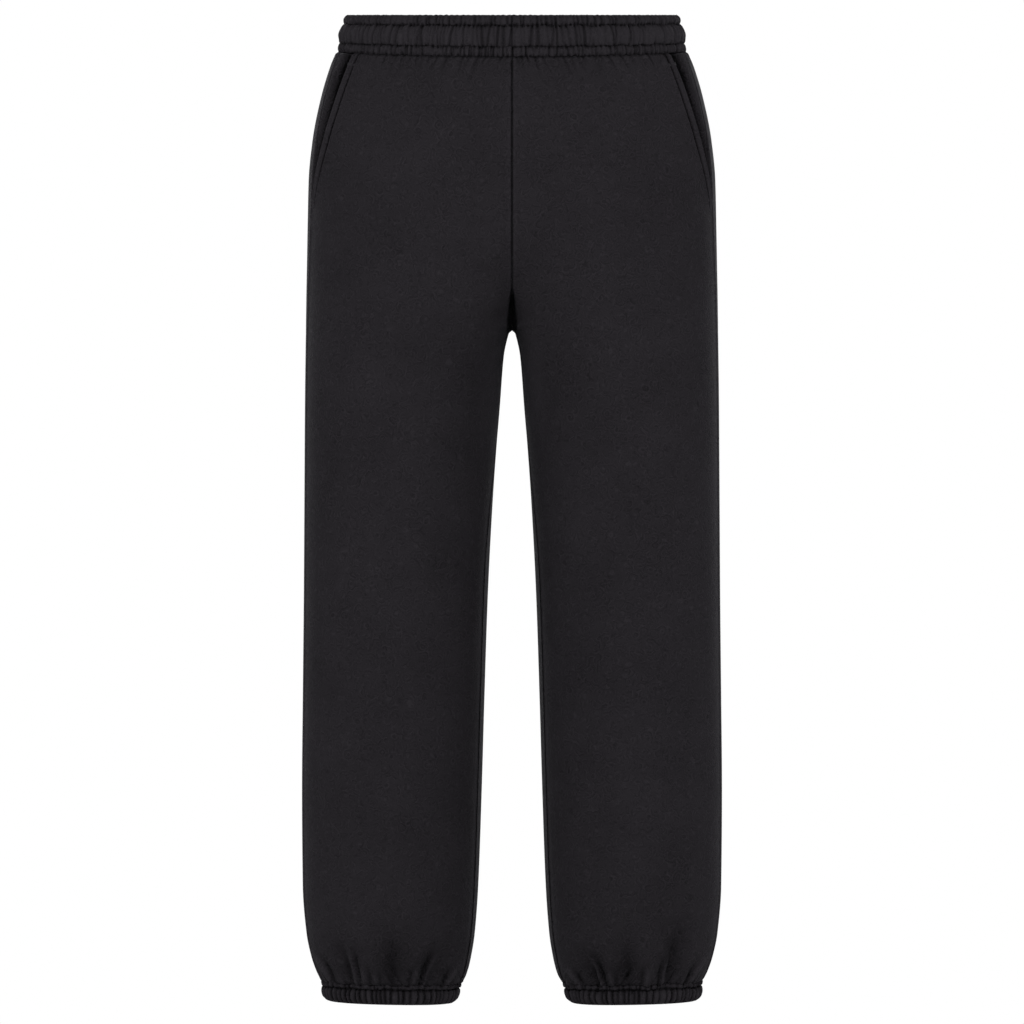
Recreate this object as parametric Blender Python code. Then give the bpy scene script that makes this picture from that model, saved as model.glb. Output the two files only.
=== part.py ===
"""Jogger sweatpants in heavy brushed fleece, filled out and hollow, with nobody in them.

The trousers face -Y and their left leg is at +X. The origin is the middle of the waistband, where the wearer holds
them up, and drop is the distance below it at the side. One surface, worked out from a short table of sections, is
shared out between the fronts, the backs and the pocket facings. The waistband and the cuffs are folded casings.
"""
import bmesh
import bpy
import numpy as np

# Cloth and seams, in metres.
CLOTH = 0.0020
SEAM_GAP = 0.0003
SAME_POINT = 0.00001
FLEECE_COLOUR = (0.018, 0.016, 0.019, 1.0)
FLEECE_ROUGHNESS = 0.95

# Sections from the waist seam to the cuff seam, one row each:
#   drop        distance below the middle of the waistband, at the side
#   outer       half the width over both legs
#   inner       half the gap between the legs, none above the crotch
#   front, back depth of the front and of the back from the side seam's plane
#   lobe        where the front and the back stand furthest out, as a share of the way to the leg's middle line
#   fork_front, fork_back  degrees by which the cloth has turned in towards the crotch, 90 on a leg
#   square      how square the section is on its inner side, 2 for an ellipse
SECTION_COLUMNS = ("drop", "outer", "inner", "front", "back", "lobe", "fork_front", "fork_back", "square")
SECTIONS = (
    (0.019, 0.1806, 0.0000, 0.110, 0.109, 0.00, 0.0, 0.0, 2.3),
    (0.033, 0.1867, 0.0000, 0.112, 0.115, 0.00, 0.0, 0.0, 2.3),
    (0.069, 0.1973, 0.0000, 0.116, 0.127, 0.00, 0.0, 0.0, 2.3),
    (0.110, 0.2053, 0.0000, 0.119, 0.138, 0.00, 0.0, 0.0, 2.3),
    (0.151, 0.2093, 0.0000, 0.121, 0.145, 0.12, 2.0, 5.0, 2.3),
    (0.200, 0.2104, 0.0000, 0.121, 0.147, 0.33, 9.0, 15.0, 2.4),
    (0.240, 0.2111, 0.0000, 0.119, 0.144, 0.58, 19.0, 28.0, 2.6),
    (0.266, 0.2116, 0.0000, 0.117, 0.139, 0.78, 34.0, 43.0, 3.0),
    (0.287, 0.2119, 0.0000, 0.115, 0.134, 0.93, 60.0, 65.0, 3.4),
    (0.306, 0.2121, 0.0000, 0.113, 0.129, 1.00, 90.0, 90.0, 3.5),
    (0.312, 0.2122, 0.0044, 0.113, 0.127, 1.00, 90.0, 90.0, 3.4),
    (0.332, 0.2125, 0.0088, 0.111, 0.123, 1.00, 90.0, 90.0, 3.1),
    (0.382, 0.2131, 0.0126, 0.108, 0.114, 1.00, 90.0, 90.0, 2.6),
    (0.481, 0.2137, 0.0198, 0.103, 0.101, 1.00, 90.0, 90.0, 2.3),
    (0.580, 0.2143, 0.0249, 0.098, 0.093, 1.00, 90.0, 90.0, 2.3),
    (0.679, 0.2153, 0.0282, 0.093, 0.090, 1.00, 90.0, 90.0, 2.3),
    (0.778, 0.2162, 0.0311, 0.089, 0.089, 1.00, 90.0, 90.0, 2.3),
    (0.877, 0.2154, 0.0347, 0.086, 0.087, 1.00, 90.0, 90.0, 2.3),
    (0.926, 0.2116, 0.0383, 0.081, 0.083, 1.00, 90.0, 90.0, 2.3),
    (0.951, 0.2066, 0.0424, 0.074, 0.076, 1.00, 90.0, 90.0, 2.2),
    (0.967, 0.2012, 0.0467, 0.064, 0.066, 1.00, 90.0, 90.0, 2.2),
    (0.976, 0.1968, 0.0515, 0.056, 0.057, 1.00, 90.0, 90.0, 2.2),
)
OUTER_SQUARE = 2.25
WAIST_SEAM_DROP = SECTIONS[0][0]
CUFF_SEAM_DROP = SECTIONS[-1][0]
# From this fork angle on, the section is that of a leg.
LEG_FORK = 89.9

# Where the seams run round a section, in degrees from the front of the lobe.
SIDE_SEAM_ANGLE = 76.0
INSEAM_FORWARD = 19.0
INSEAM_FORWARD_SPAN = (0.330, 0.560)

# The waist is higher behind than in front, and its seam dips at both middles.
WAIST_SLOPE = 0.088
WAIST_DIP = 0.0040
WAIST_SHAPE_END = 0.200

# The waistband from its top edge to its seam: share of its height, growth out from the waist seam's section, wall.
BAND_TOP_DROP = -0.0190
BAND_COLUMNS = ("share", "growth", "wall")
BAND = (
    (0.000, -0.0111, 0.0022),
    (0.040, -0.0094, 0.0048),
    (0.140, -0.0074, 0.0056),
    (0.230, -0.0079, 0.0042),
    (0.330, -0.0055, 0.0058),
    (0.560, -0.0029, 0.0064),
    (0.700, -0.0031, 0.0056),
    (0.760, -0.0039, 0.0042),
    (0.870, -0.0020, 0.0054),
    (1.000, -0.0016, 0.0044),
)

# A cuff from its seam to its bottom edge, in the same columns. Its inner side hangs lower, and so does the leg's end.
CUFF_BOTTOM_DROP = 0.9966
CUFF_INNER_LOWER = 0.0028
CUFF_TILT_START = 0.900
CUFF_RADIUS = 0.060
CUFF = (
    (0.000, -0.0004, 0.0040),
    (0.140, 0.0002, 0.0050),
    (0.270, -0.0007, 0.0040),
    (0.450, -0.0004, 0.0056),
    (0.750, -0.0018, 0.0054),
    (0.920, -0.0042, 0.0040),
    (1.000, -0.0070, 0.0016),
)

# The slant pocket: how far in front of the side seam it starts, and the drop at which it meets that seam.
POCKET_WIDTH = 0.0285
POCKET_END_DROP = 0.176
POCKET_BOW = 2.2
# The facing sinks to below the front over this distance from the pocket's edge. Its middle column stands at a share.
FACING_SLOPE = 0.012
FACING_MIDDLE = 0.45

# The largest folds above a cuff: leg (+1 left, -1 right), face (+1 front, -1 back), place of the fold from the
# middle of the leg at its top and at the cuff (+ outwards), drop at its top, depth and half width at the cuff. It is
# wider at its top, full after a share of its length, and fades out at the plane of the side seams and down the cuff.
FOLD_COLUMNS = ("leg", "face", "place_top", "place_cuff", "drop_top", "depth", "half_width")
FOLDS = (
    (+1, +1, 0.046, 0.035, 0.890, 0.0080, 0.0110),
    (+1, +1, -0.008, -0.006, 0.905, 0.0075, 0.0120),
    (+1, +1, -0.051, -0.037, 0.925, 0.0080, 0.0110),
    (+1, -1, 0.046, 0.034, 0.905, 0.0080, 0.0120),
    (+1, -1, 0.000, 0.004, 0.885, 0.0070, 0.0130),
    (+1, -1, -0.045, -0.033, 0.915, 0.0075, 0.0110),
    (-1, +1, 0.052, 0.042, 0.915, 0.0080, 0.0110),
    (-1, +1, -0.004, -0.002, 0.900, 0.0085, 0.0130),
    (-1, +1, -0.050, -0.036, 0.920, 0.0080, 0.0120),
    (-1, -1, 0.044, 0.036, 0.890, 0.0075, 0.0120),
    (-1, -1, 0.008, 0.002, 0.915, 0.0080, 0.0120),
    (-1, -1, -0.048, -0.034, 0.900, 0.0075, 0.0120),
)
FOLD_TOP_SPREAD = 1.9
FOLD_FULL = 0.9
FOLD_SIDE_FADE = 0.020
FOLD_CUFF_SHARE = 0.9

# How finely the cloth is faceted.
ROW_SPANS = ((0.060, 2), (0.176, 4), (0.250, 2), (0.306, 6), (0.340, 3), (0.860, 4), (0.926, 2), (0.976, 5))
OUTER_COLUMNS = 5
LOBE_COLUMNS = 5
INNER_COLUMNS = 5
BAND_STATIONS = 18
CUFF_STATIONS = 26
FINE = 400
# A lobe turns inwards at this angle from its front or back, and at least this far from the crotch seam.
TURN_ANGLE = 45.0
LEAST_TURN = 0.012
SHARP_ANGLE = 40.0
TINY = 0.000001


def smooth_curve(places, values, at):
    """Return the values at the places asked for, on a smooth curve that never overshoots its points."""
    places = np.asarray(places, float)
    values = np.asarray(values, float)
    step = np.diff(places)
    slope = np.diff(values) / step
    same_way = slope[:-1] * slope[1:] > 0
    bend = np.where(same_way, 2 * slope[:-1] * slope[1:] / np.where(same_way, slope[:-1] + slope[1:], 1), 0)
    tangent = np.concatenate(([slope[0]], bend, [slope[-1]]))
    at = np.clip(at, places[0], places[-1])
    i = np.clip(np.searchsorted(places, at, side="right") - 1, 0, len(step) - 1)
    t = (at - places[i]) / step[i]
    return (
        values[i] * (1 + 2 * t) * (1 - t) ** 2
        + values[i + 1] * t**2 * (3 - 2 * t)
        + tangent[i] * step[i] * t * (1 - t) ** 2
        - tangent[i + 1] * step[i] * t**2 * (1 - t)
    )


def ease(value, start, end):
    """Go from 0 at start to 1 at end, level at both."""
    t = np.clip((value - start) / (end - start), 0, 1)
    return t * t * (3 - 2 * t)


def column(table, names, name):
    """Return one named column of a table."""
    return [row[names.index(name)] for row in table]


def section_size(name, drop):
    """Return one size of the section at a drop."""
    drops = column(SECTIONS, SECTION_COLUMNS, "drop")
    return smooth_curve(drops, column(SECTIONS, SECTION_COLUMNS, name), drop)


def leg_middle(drop):
    """Return x of the leg's middle line, carried on up to the waist."""
    return (section_size("outer", drop) + section_size("inner", drop)) / 2


def lobe_middle(drop):
    """Return x where the front and the back stand furthest out."""
    return section_size("lobe", drop) * leg_middle(drop)


def outline(drop, angle, growth=0.0):
    """Return x and y of the left half's section, moved out by growth.

    The angle is 0 at the front of the lobe, 90 at the side and 180 at the back. It runs on below 0 and above 180
    to the crotch seam, and past 270 round the inside of a leg to the inseam. Each quarter is a superellipse.
    """
    angle = np.where(angle > 270, angle - 360, angle)
    front_half = np.abs(angle) <= 90
    outer_half = (angle >= 0) & (angle <= 180)
    depth = np.where(front_half, -section_size("front", drop) - growth, section_size("back", drop) + growth)
    fork = np.where(front_half, section_size("fork_front", drop), section_size("fork_back", drop))
    lobe = lobe_middle(drop)
    outer = section_size("outer", drop) + growth
    inner = np.maximum(section_size("inner", drop) - growth * (fork > LEG_FORK), SEAM_GAP / 2)
    power = 2 / np.where(outer_half, OUTER_SQUARE, section_size("square", drop))
    across = np.abs(np.sin(np.radians(angle)))
    turned = np.maximum(np.sin(np.radians(fork)), TINY)
    inner_share = np.clip(across / turned, 0, 1) ** power
    x = np.where(outer_half, lobe + (outer - lobe) * across**power, lobe - (lobe - inner) * inner_share)
    y = depth * np.abs(np.cos(np.radians(angle))) ** power
    return np.maximum(x, SEAM_GAP / 2), y


def height(drop, x, y):
    """Return z: the waist slopes up to the back and dips at its middles, and the cuffs hang lower inside."""
    waist = 1 - ease(drop, WAIST_SEAM_DROP, WAIST_SHAPE_END)
    across = x / section_size("outer", drop)
    dip = WAIST_DIP * (1 - across**2) * np.clip((drop - BAND_TOP_DROP) / (WAIST_SEAM_DROP - BAND_TOP_DROP), 0, 1)
    middle = leg_middle(drop)
    inward = (middle - x) / (2 * (middle - section_size("inner", drop)))
    cuff = CUFF_INNER_LOWER * inward * ease(drop, CUFF_TILT_START, CUFF_SEAM_DROP)
    return -drop + waist * (WAIST_SLOPE * y - dip) - cuff


def fold_depth(leg, drop, x, y):
    """Return how far the folds above one leg's cuff push the cloth in."""
    pushed = np.zeros_like(x)
    for row in FOLDS:
        fold = dict(zip(FOLD_COLUMNS, row))
        if fold["leg"] != leg:
            continue
        run = np.clip((drop - fold["drop_top"]) / (CUFF_SEAM_DROP - fold["drop_top"]), 0, 1)
        place = fold["place_top"] + (fold["place_cuff"] - fold["place_top"]) * run
        spread = fold["half_width"] * (FOLD_TOP_SPREAD + (1 - FOLD_TOP_SPREAD) * run)
        across = (x - leg_middle(drop) - place) / spread
        on_face = ease(-fold["face"] * y, 0, FOLD_SIDE_FADE)
        pushed += fold["depth"] * ease(run, 0, FOLD_FULL) * np.exp(-(across**2)) * on_face
    return pushed


def folded(leg, drop, x, y, share=1.0):
    """Return a section's x and y after a share of the folds, which push square to its outline, along axis 1."""
    flat = np.stack((x, y), 2)
    along = np.gradient(flat, axis=1)
    length = np.linalg.norm(along, axis=2, keepdims=True)
    outward = np.stack((along[..., 1], -along[..., 0]), 2) / np.maximum(length, TINY)
    middle = np.stack((lobe_middle(drop), np.zeros_like(drop)), 2)
    outward = outward * np.sign(np.sum(outward * (flat - middle), 2, keepdims=True))
    return flat - outward * (share * fold_depth(leg, drop, x, y))[..., None]


def run_of_cloth(leg, drops, start_angle, end_angle):
    """Return fine points, tangents across and arc lengths from one seam to another, one line for each drop."""
    share = np.linspace(0, 1, FINE)
    drop = np.repeat(drops[:, None], FINE, 1)
    angle = start_angle[:, None] + (end_angle - start_angle)[:, None] * share
    flat = folded(leg, drop, *outline(drop, angle))
    points = np.dstack((flat, height(drop, flat[..., 0], flat[..., 1])))
    steps = np.linalg.norm(np.diff(points, axis=1), axis=2)
    arc = np.concatenate((np.zeros((len(drops), 1)), np.cumsum(steps, axis=1)), 1)
    return points, np.gradient(points, axis=1), arc


def at_arcs(run, places):
    """Read a run of cloth at the given arc lengths: points and unit tangents across, row by row."""
    points, tangents, arc = run
    read = np.empty(places.shape + (3,))
    across = np.empty_like(read)
    for row in range(len(places)):
        for axis in range(3):
            read[row, :, axis] = np.interp(places[row], arc[row], points[row, :, axis])
            across[row, :, axis] = np.interp(places[row], arc[row], tangents[row, :, axis])
    return read, across / np.linalg.norm(across, axis=2, keepdims=True)


def panel_normals(points, across, drops):
    """Return unit normals that point away from the lobe's middle, from the runs across and down the cloth."""
    inside = np.stack((lobe_middle(drops), 0 * drops, -drops), 1)[:, None]
    down = np.gradient(points, axis=0)
    normals = np.cross(across, down)
    normals /= np.linalg.norm(normals, axis=2, keepdims=True)
    away = np.sum(normals * (points - inside), 2, keepdims=True)
    return normals * np.sign(away)


def row_drops():
    """Return the drops of the panels' rows, from the waist seam to the cuff seam, clear of both casings."""
    drops = [WAIST_SEAM_DROP + SEAM_GAP / 2]
    for end, steps in ROW_SPANS:
        drops.extend(np.linspace(drops[-1], end, steps + 1)[1:])
    drops[-1] -= SEAM_GAP / 2
    return np.array(drops)


def inseam_angle(drops):
    """Return the front panel's inner end: the crotch seam above the legs, the inseam on them."""
    forward = INSEAM_FORWARD * ease(drops, *INSEAM_FORWARD_SPAN)
    return -(section_size("fork_front", drops) - forward)


def back_end_angle(drops):
    """Return the back panel's inner end, which meets the front's on a leg."""
    on_leg = section_size("fork_front", drops) > LEG_FORK
    return np.where(on_leg, 360 + inseam_angle(drops), 180 + section_size("fork_back", drops))


def pocket_distance(drops):
    """Return how far the pocket's edge lies in front of the side seam."""
    run = np.clip((drops - WAIST_SEAM_DROP) / (POCKET_END_DROP - WAIST_SEAM_DROP), 0, 1)
    return POCKET_WIDTH * (1 - run**POCKET_BOW)


def middle_line_angle(drops):
    """Return the angle from the front at which the leg's middle line lies on the section."""
    lobe = lobe_middle(drops)
    across = (leg_middle(drops) - lobe) / (section_size("outer", drops) - lobe)
    return np.degrees(np.arcsin(across ** (OUTER_SQUARE / 2)))


def arc_at_share(run, shares):
    """Return each line's arc length at a share of its angles."""
    fine_share = np.linspace(0, 1, FINE)
    return np.array([np.interp(share, fine_share, arc) for share, arc in zip(shares, run[2])])


def panel_places(run, drops, start, middle_share, turn_share):
    """Return a panel's arc lengths, even between the leg's middle line, where it turns inwards, and its seams."""
    on_leg = section_size("fork_front", drops) > LEG_FORK
    end = run[2][:, -1] - SEAM_GAP / 2 * on_leg
    middle = arc_at_share(run, middle_share)
    turn = np.minimum(arc_at_share(run, turn_share), end - LEAST_TURN)
    places = [start[:, None]]
    for begin, stop, columns in (
        (start, middle, OUTER_COLUMNS),
        (middle, turn, LOBE_COLUMNS),
        (turn, end, INNER_COLUMNS),
    ):
        places.append(begin[:, None] + (stop - begin)[:, None] * np.linspace(0, 1, columns + 1)[1:])
    return np.concatenate(places, 1)


def closed_wall(name, outer, inner, mirrored):
    """Build one closed piece of cloth from its outer and inner grids of points."""
    rows, columns = outer.shape[:2]
    points = np.concatenate((outer.reshape(-1, 3), inner.reshape(-1, 3)))
    if mirrored:
        points = points * (-1, 1, 1)
    index = np.arange(rows * columns).reshape(rows, columns)
    depth = rows * columns
    faces = []
    for r in range(rows - 1):
        for c in range(columns - 1):
            a, b, d, e = index[r, c], index[r, c + 1], index[r + 1, c + 1], index[r + 1, c]
            faces += [(a, b, d), (a, d, e)]
            faces += [(a + depth, d + depth, b + depth), (a + depth, e + depth, d + depth)]
    rim = np.concatenate((index[0, :-1], index[:-1, -1], index[-1, :0:-1], index[:0:-1, 0]))
    for a, b in zip(rim, np.roll(rim, -1)):
        faces += [(b, a, a + depth), (b, a + depth, b + depth)]
    return make_piece(name, points, faces)


def make_piece(name, points, faces):
    """Make a named object with its own fleece material and its faces turned outwards."""
    mesh = bpy.data.meshes.new(name)
    mesh.from_pydata(points.tolist(), [], [tuple(int(i) for i in face) for face in faces])
    shape = bmesh.new()
    shape.from_mesh(mesh)
    bmesh.ops.remove_doubles(shape, verts=shape.verts, dist=SAME_POINT)
    bmesh.ops.recalc_face_normals(shape, faces=shape.faces)
    if shape.calc_volume(signed=True) < 0:
        bmesh.ops.reverse_faces(shape, faces=shape.faces)
    shape.to_mesh(mesh)
    shape.free()
    mesh.shade_smooth()
    mesh.set_sharp_from_angle(angle=np.radians(SHARP_ANGLE))
    material = bpy.data.materials.new(name + "_fleece")
    material.use_nodes = True
    surface = material.node_tree.nodes["Principled BSDF"]
    surface.inputs["Base Color"].default_value = FLEECE_COLOUR
    surface.inputs["Roughness"].default_value = FLEECE_ROUGHNESS
    surface.inputs["Metallic"].default_value = 0.0
    mesh.materials.append(material)
    piece = bpy.data.objects.new(name, mesh)
    bpy.context.scene.collection.objects.link(piece)
    return piece


def make_wall(name, outer_points, normals, mirrored):
    """Build a piece of cloth one wall thick under its outer points."""
    closed_wall(name, outer_points, outer_points - CLOTH * normals, mirrored)


def make_leg_half(side, leg):
    """Make the front, the back and the pocket facing of one side."""
    drops = row_drops()
    side_angle = np.full(len(drops), SIDE_SEAM_ANGLE)
    middle_angle = middle_line_angle(drops)
    mirrored = leg < 0

    front_end = inseam_angle(drops)
    front_run = run_of_cloth(leg, drops, side_angle, front_end)
    opening = pocket_distance(drops)
    front_places = panel_places(
        front_run,
        drops,
        opening + SEAM_GAP / 2,
        (side_angle - middle_angle) / (side_angle - front_end),
        np.minimum((side_angle + TURN_ANGLE) / (side_angle - front_end), 1),
    )
    front, front_across = at_arcs(front_run, front_places)
    make_wall("front_" + side, front, panel_normals(front, front_across, drops), mirrored)

    back_end = back_end_angle(drops)
    back_run = run_of_cloth(leg, drops, side_angle, back_end)
    back_places = panel_places(
        back_run,
        drops,
        np.full(len(drops), SEAM_GAP / 2),
        (180 - middle_angle - side_angle) / (back_end - side_angle),
        np.minimum((180 + TURN_ANGLE - side_angle) / (back_end - side_angle), 1),
    )
    back, back_across = at_arcs(back_run, back_places)
    make_wall("back_" + side, back, panel_normals(back, back_across, drops), mirrored)

    # The facing runs from the side seam to under the front's first two columns, and ends in a point with the pocket.
    rows = drops < POCKET_END_DROP + SEAM_GAP
    shown = SEAM_GAP / 2 + opening[rows, None] * (0, FACING_MIDDLE)
    facing_places = np.concatenate((shown, front_places[rows, :2]), 1)
    facing, facing_across = at_arcs(tuple(part[rows] for part in front_run), facing_places)
    facing_out = panel_normals(facing, facing_across, drops[rows])
    flush = ease(opening[rows, None] - facing_places, 0, FACING_SLOPE)
    facing = facing - ((CLOTH + SEAM_GAP) * (1 - flush))[..., None] * facing_out
    make_wall("pocket_facing_" + side, facing, facing_out, mirrored)


def casing_profile(table):
    """Return the casing's closed profile as shares of its height and growths: down the outside, up the inside."""
    share = column(table, BAND_COLUMNS, "share")
    growth = column(table, BAND_COLUMNS, "growth")
    wall = column(table, BAND_COLUMNS, "wall")
    outside = list(zip(share, growth))
    inside = [(s, g - w) for s, g, w in zip(share, growth, wall)][::-2]
    return np.array(outside + inside)


def make_casing(name, profile, stations):
    """Make a casing from its stations, each one profile of points, open at the seam that closes its strip."""
    count = len(profile)
    points = stations.reshape(-1, 3)
    faces = []
    for s in range(len(stations) - 1):
        for p in range(count):
            a, b = s * count + p, s * count + (p + 1) % count
            faces += [(a, b, b + count), (a, b + count, a + count)]
    last = (len(stations) - 1) * count
    faces += [tuple(range(count)), tuple(range(last + count - 1, last - 1, -1))]
    return make_piece(name, points, faces)


def make_waistband():
    """Make the waistband: one strip round the waist, closed at centre front."""
    profile = casing_profile(BAND)
    share, growth = profile.T[:, None, :]
    angle = np.linspace(0, 180, BAND_STATIONS + 1)[:, None]
    drop = BAND_TOP_DROP + (WAIST_SEAM_DROP - SEAM_GAP / 2 - BAND_TOP_DROP) * share + 0 * angle
    x, y = outline(np.full(drop.shape, WAIST_SEAM_DROP), angle + 0 * share, growth + 0 * angle)
    left = np.dstack((x, y, height(drop, x, y)))
    right = (left * (-1, 1, 1))[-2::-1]
    left[-1, :, 0] = 0.0
    make_casing("waistband", profile, np.concatenate((left, right)))


def make_cuff(side, leg):
    """Make a cuff: one strip round the ankle, closed at the inseam."""
    profile = casing_profile(CUFF)
    share, growth = profile.T[:, :, None]
    seam = inseam_angle(np.array([CUFF_SEAM_DROP]))[0]
    # The ends of the strip stand half a seam gap from the inseam, turned into degrees on a mean radius.
    half_gap = np.degrees(SEAM_GAP / 2 / CUFF_RADIUS)
    angle = np.linspace(seam + half_gap, seam + 360 - half_gap, CUFF_STATIONS + 1)
    ring = np.full((len(share), len(angle)), CUFF_SEAM_DROP)
    flat = folded(leg, ring, *outline(ring, angle + 0 * share, growth + 0 * angle), 1 - FOLD_CUFF_SHARE * share)
    z = height(ring, flat[..., 0], flat[..., 1]) - SEAM_GAP / 2 - (CUFF_BOTTOM_DROP - CUFF_SEAM_DROP) * share
    stations = np.dstack((flat, z)) * (leg, 1, 1)
    make_casing("cuff_" + side, profile, stations.transpose(1, 0, 2))


for old in list(bpy.data.objects):
    bpy.data.objects.remove(old)
make_waistband()
for side_name, leg_sign in (("left", 1), ("right", -1)):
    make_leg_half(side_name, leg_sign)
    make_cuff(side_name, leg_sign)
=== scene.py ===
import bpy
import numpy as np
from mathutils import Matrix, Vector


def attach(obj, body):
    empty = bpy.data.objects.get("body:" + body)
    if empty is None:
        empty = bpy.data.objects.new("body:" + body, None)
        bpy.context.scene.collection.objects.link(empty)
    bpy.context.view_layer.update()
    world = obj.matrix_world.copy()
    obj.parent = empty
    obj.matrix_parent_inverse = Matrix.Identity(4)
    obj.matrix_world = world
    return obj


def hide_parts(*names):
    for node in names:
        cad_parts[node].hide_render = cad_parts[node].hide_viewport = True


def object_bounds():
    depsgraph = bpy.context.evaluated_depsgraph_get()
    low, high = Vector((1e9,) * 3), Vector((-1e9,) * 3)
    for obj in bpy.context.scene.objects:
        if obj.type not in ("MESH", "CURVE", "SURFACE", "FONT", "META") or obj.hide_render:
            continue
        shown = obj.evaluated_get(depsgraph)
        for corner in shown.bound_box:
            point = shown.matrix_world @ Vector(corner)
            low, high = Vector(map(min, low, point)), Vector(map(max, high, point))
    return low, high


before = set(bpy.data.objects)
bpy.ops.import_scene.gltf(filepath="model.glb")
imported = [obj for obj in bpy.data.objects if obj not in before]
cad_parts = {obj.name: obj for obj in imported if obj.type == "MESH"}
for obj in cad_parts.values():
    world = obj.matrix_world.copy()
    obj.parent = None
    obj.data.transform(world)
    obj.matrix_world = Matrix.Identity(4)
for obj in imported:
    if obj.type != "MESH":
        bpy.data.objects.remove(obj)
cad_box = [list(corner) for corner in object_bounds()]


# ---- Fronts ------------------------------------------------------------------------------------------------
# Two fronts of heavy brushed cotton fleece, washed black, each cut in one piece from waist to ankle and cut
# away at the side for the slant pocket, whose edge is turned under and topstitched. They meet in the crotch
# seam, are gathered a little into the waistband and fully into the cuffs, and stand round as if filled.
CLOTH = 0.0020
SEAM_GAP = 0.00004
CROTCH_GAP = 0.00004

# The form, in sections from the waist seam to the cuff seam: drop below the middle of the waistband, half
# width over both legs, half the gap between the legs, depth of the front and of the back, how far over the
# leg they stand furthest out, degrees that the cloth has turned in towards the crotch, and how square the
# inner side is.
SECTION_COLUMNS = ("drop", "outer", "inner", "front", "back", "lobe", "fork_front", "fork_back", "square")
SECTIONS = (
    (0.019, 0.1806, 0.0000, 0.110, 0.109, 0.00, 0.0, 0.0, 2.3),
    (0.033, 0.1867, 0.0000, 0.112, 0.115, 0.00, 0.0, 0.0, 2.3),
    (0.069, 0.1973, 0.0000, 0.116, 0.127, 0.00, 0.0, 0.0, 2.3),
    (0.110, 0.2053, 0.0000, 0.119, 0.138, 0.00, 0.0, 0.0, 2.3),
    (0.151, 0.2093, 0.0000, 0.121, 0.145, 0.12, 2.0, 5.0, 2.3),
    (0.200, 0.2104, 0.0000, 0.121, 0.147, 0.33, 9.0, 15.0, 2.4),
    (0.240, 0.2111, 0.0000, 0.119, 0.144, 0.58, 19.0, 28.0, 2.6),
    (0.266, 0.2116, 0.0000, 0.117, 0.139, 0.76, 34.0, 43.0, 3.0),
    (0.287, 0.2119, 0.0000, 0.115, 0.134, 0.87, 60.0, 65.0, 3.3),
    (0.306, 0.2121, 0.0000, 0.1133, 0.129, 0.93, 90.0, 90.0, 3.4),
    (0.3075, 0.2121, 0.0029, 0.1132, 0.1286, 0.933, 90.0, 90.0, 3.4),
    (0.312, 0.2122, 0.0045, 0.1128, 0.1275, 0.945, 90.0, 90.0, 3.35),
    (0.332, 0.2125, 0.0087, 0.1112, 0.1229, 0.98, 90.0, 90.0, 3.1),
    (0.382, 0.2131, 0.0126, 0.108, 0.114, 1.00, 90.0, 90.0, 2.6),
    (0.481, 0.2137, 0.0198, 0.103, 0.101, 1.00, 90.0, 90.0, 2.3),
    (0.580, 0.2143, 0.0249, 0.098, 0.093, 1.00, 90.0, 90.0, 2.3),
    (0.679, 0.2153, 0.0282, 0.093, 0.090, 1.00, 90.0, 90.0, 2.3),
    (0.778, 0.2162, 0.0311, 0.089, 0.089, 1.00, 90.0, 90.0, 2.3),
    (0.877, 0.2154, 0.0347, 0.086, 0.087, 1.00, 90.0, 90.0, 2.3),
    (0.926, 0.2116, 0.0383, 0.081, 0.083, 1.00, 90.0, 90.0, 2.3),
    (0.951, 0.2066, 0.0424, 0.074, 0.076, 1.00, 90.0, 90.0, 2.2),
    (0.967, 0.2012, 0.0467, 0.064, 0.066, 1.00, 90.0, 90.0, 2.2),
    (0.976, 0.1968, 0.0515, 0.056, 0.057, 1.00, 90.0, 90.0, 2.2),
)
OUTER_SQUARE = 2.25
LEG_FORK = 89.9
GAP_HOLD = (5.0, 0.306, 0.350)
WAIST_SEAM = SECTIONS[0][0]
CUFF_SEAM = SECTIONS[-1][0]


def smooth_curve(places, values, at):
    """Return values at the places asked for on a cubic through the points whose slopes never overshoot
    them."""
    places = np.asarray(places, float)
    values = np.asarray(values, float)
    step = np.diff(places)
    slope = np.diff(values) / step
    same_way = slope[:-1] * slope[1:] > 0
    bend = np.where(same_way, 2 * slope[:-1] * slope[1:] / np.where(same_way, slope[:-1] + slope[1:], 1), 0)
    tangent = np.concatenate(([slope[0]], bend, [slope[-1]]))
    at = np.clip(at, places[0], places[-1])
    i = np.clip(np.searchsorted(places, at, side="right") - 1, 0, len(step) - 1)
    t = (at - places[i]) / step[i]
    return (
        values[i] * (1 + 2 * t) * (1 - t) ** 2
        + values[i + 1] * t**2 * (3 - 2 * t)
        + tangent[i] * step[i] * t * (1 - t) ** 2
        - tangent[i + 1] * step[i] * t**2 * (1 - t)
    )


def ease(value, start, end):
    """Go from 0 at start to 1 at end as 3t squared less 2t cubed, level at both."""
    t = np.clip((value - start) / (end - start), 0, 1)
    return t * t * (3 - 2 * t)


def dome(value, middle, width):
    """One at the middle, falling either way as the exponential of minus the squared distance in widths."""
    return np.exp(-(((value - middle) / width) ** 2))


def bell(value, size, middle, width):
    """A dome of a size. The values of a bell are always given in that order: size, middle, width."""
    return size * dome(value, middle, width)


def section_size(name, drop):
    """Read one column of the section table at a drop, on a smooth curve."""
    place = SECTION_COLUMNS.index(name)
    return smooth_curve([row[0] for row in SECTIONS], [row[place] for row in SECTIONS], drop)


def leg_middle(drop):
    """x of a leg's middle line: halfway between the section's inner and outer side."""
    return (section_size("outer", drop) + section_size("inner", drop)) / 2


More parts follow.
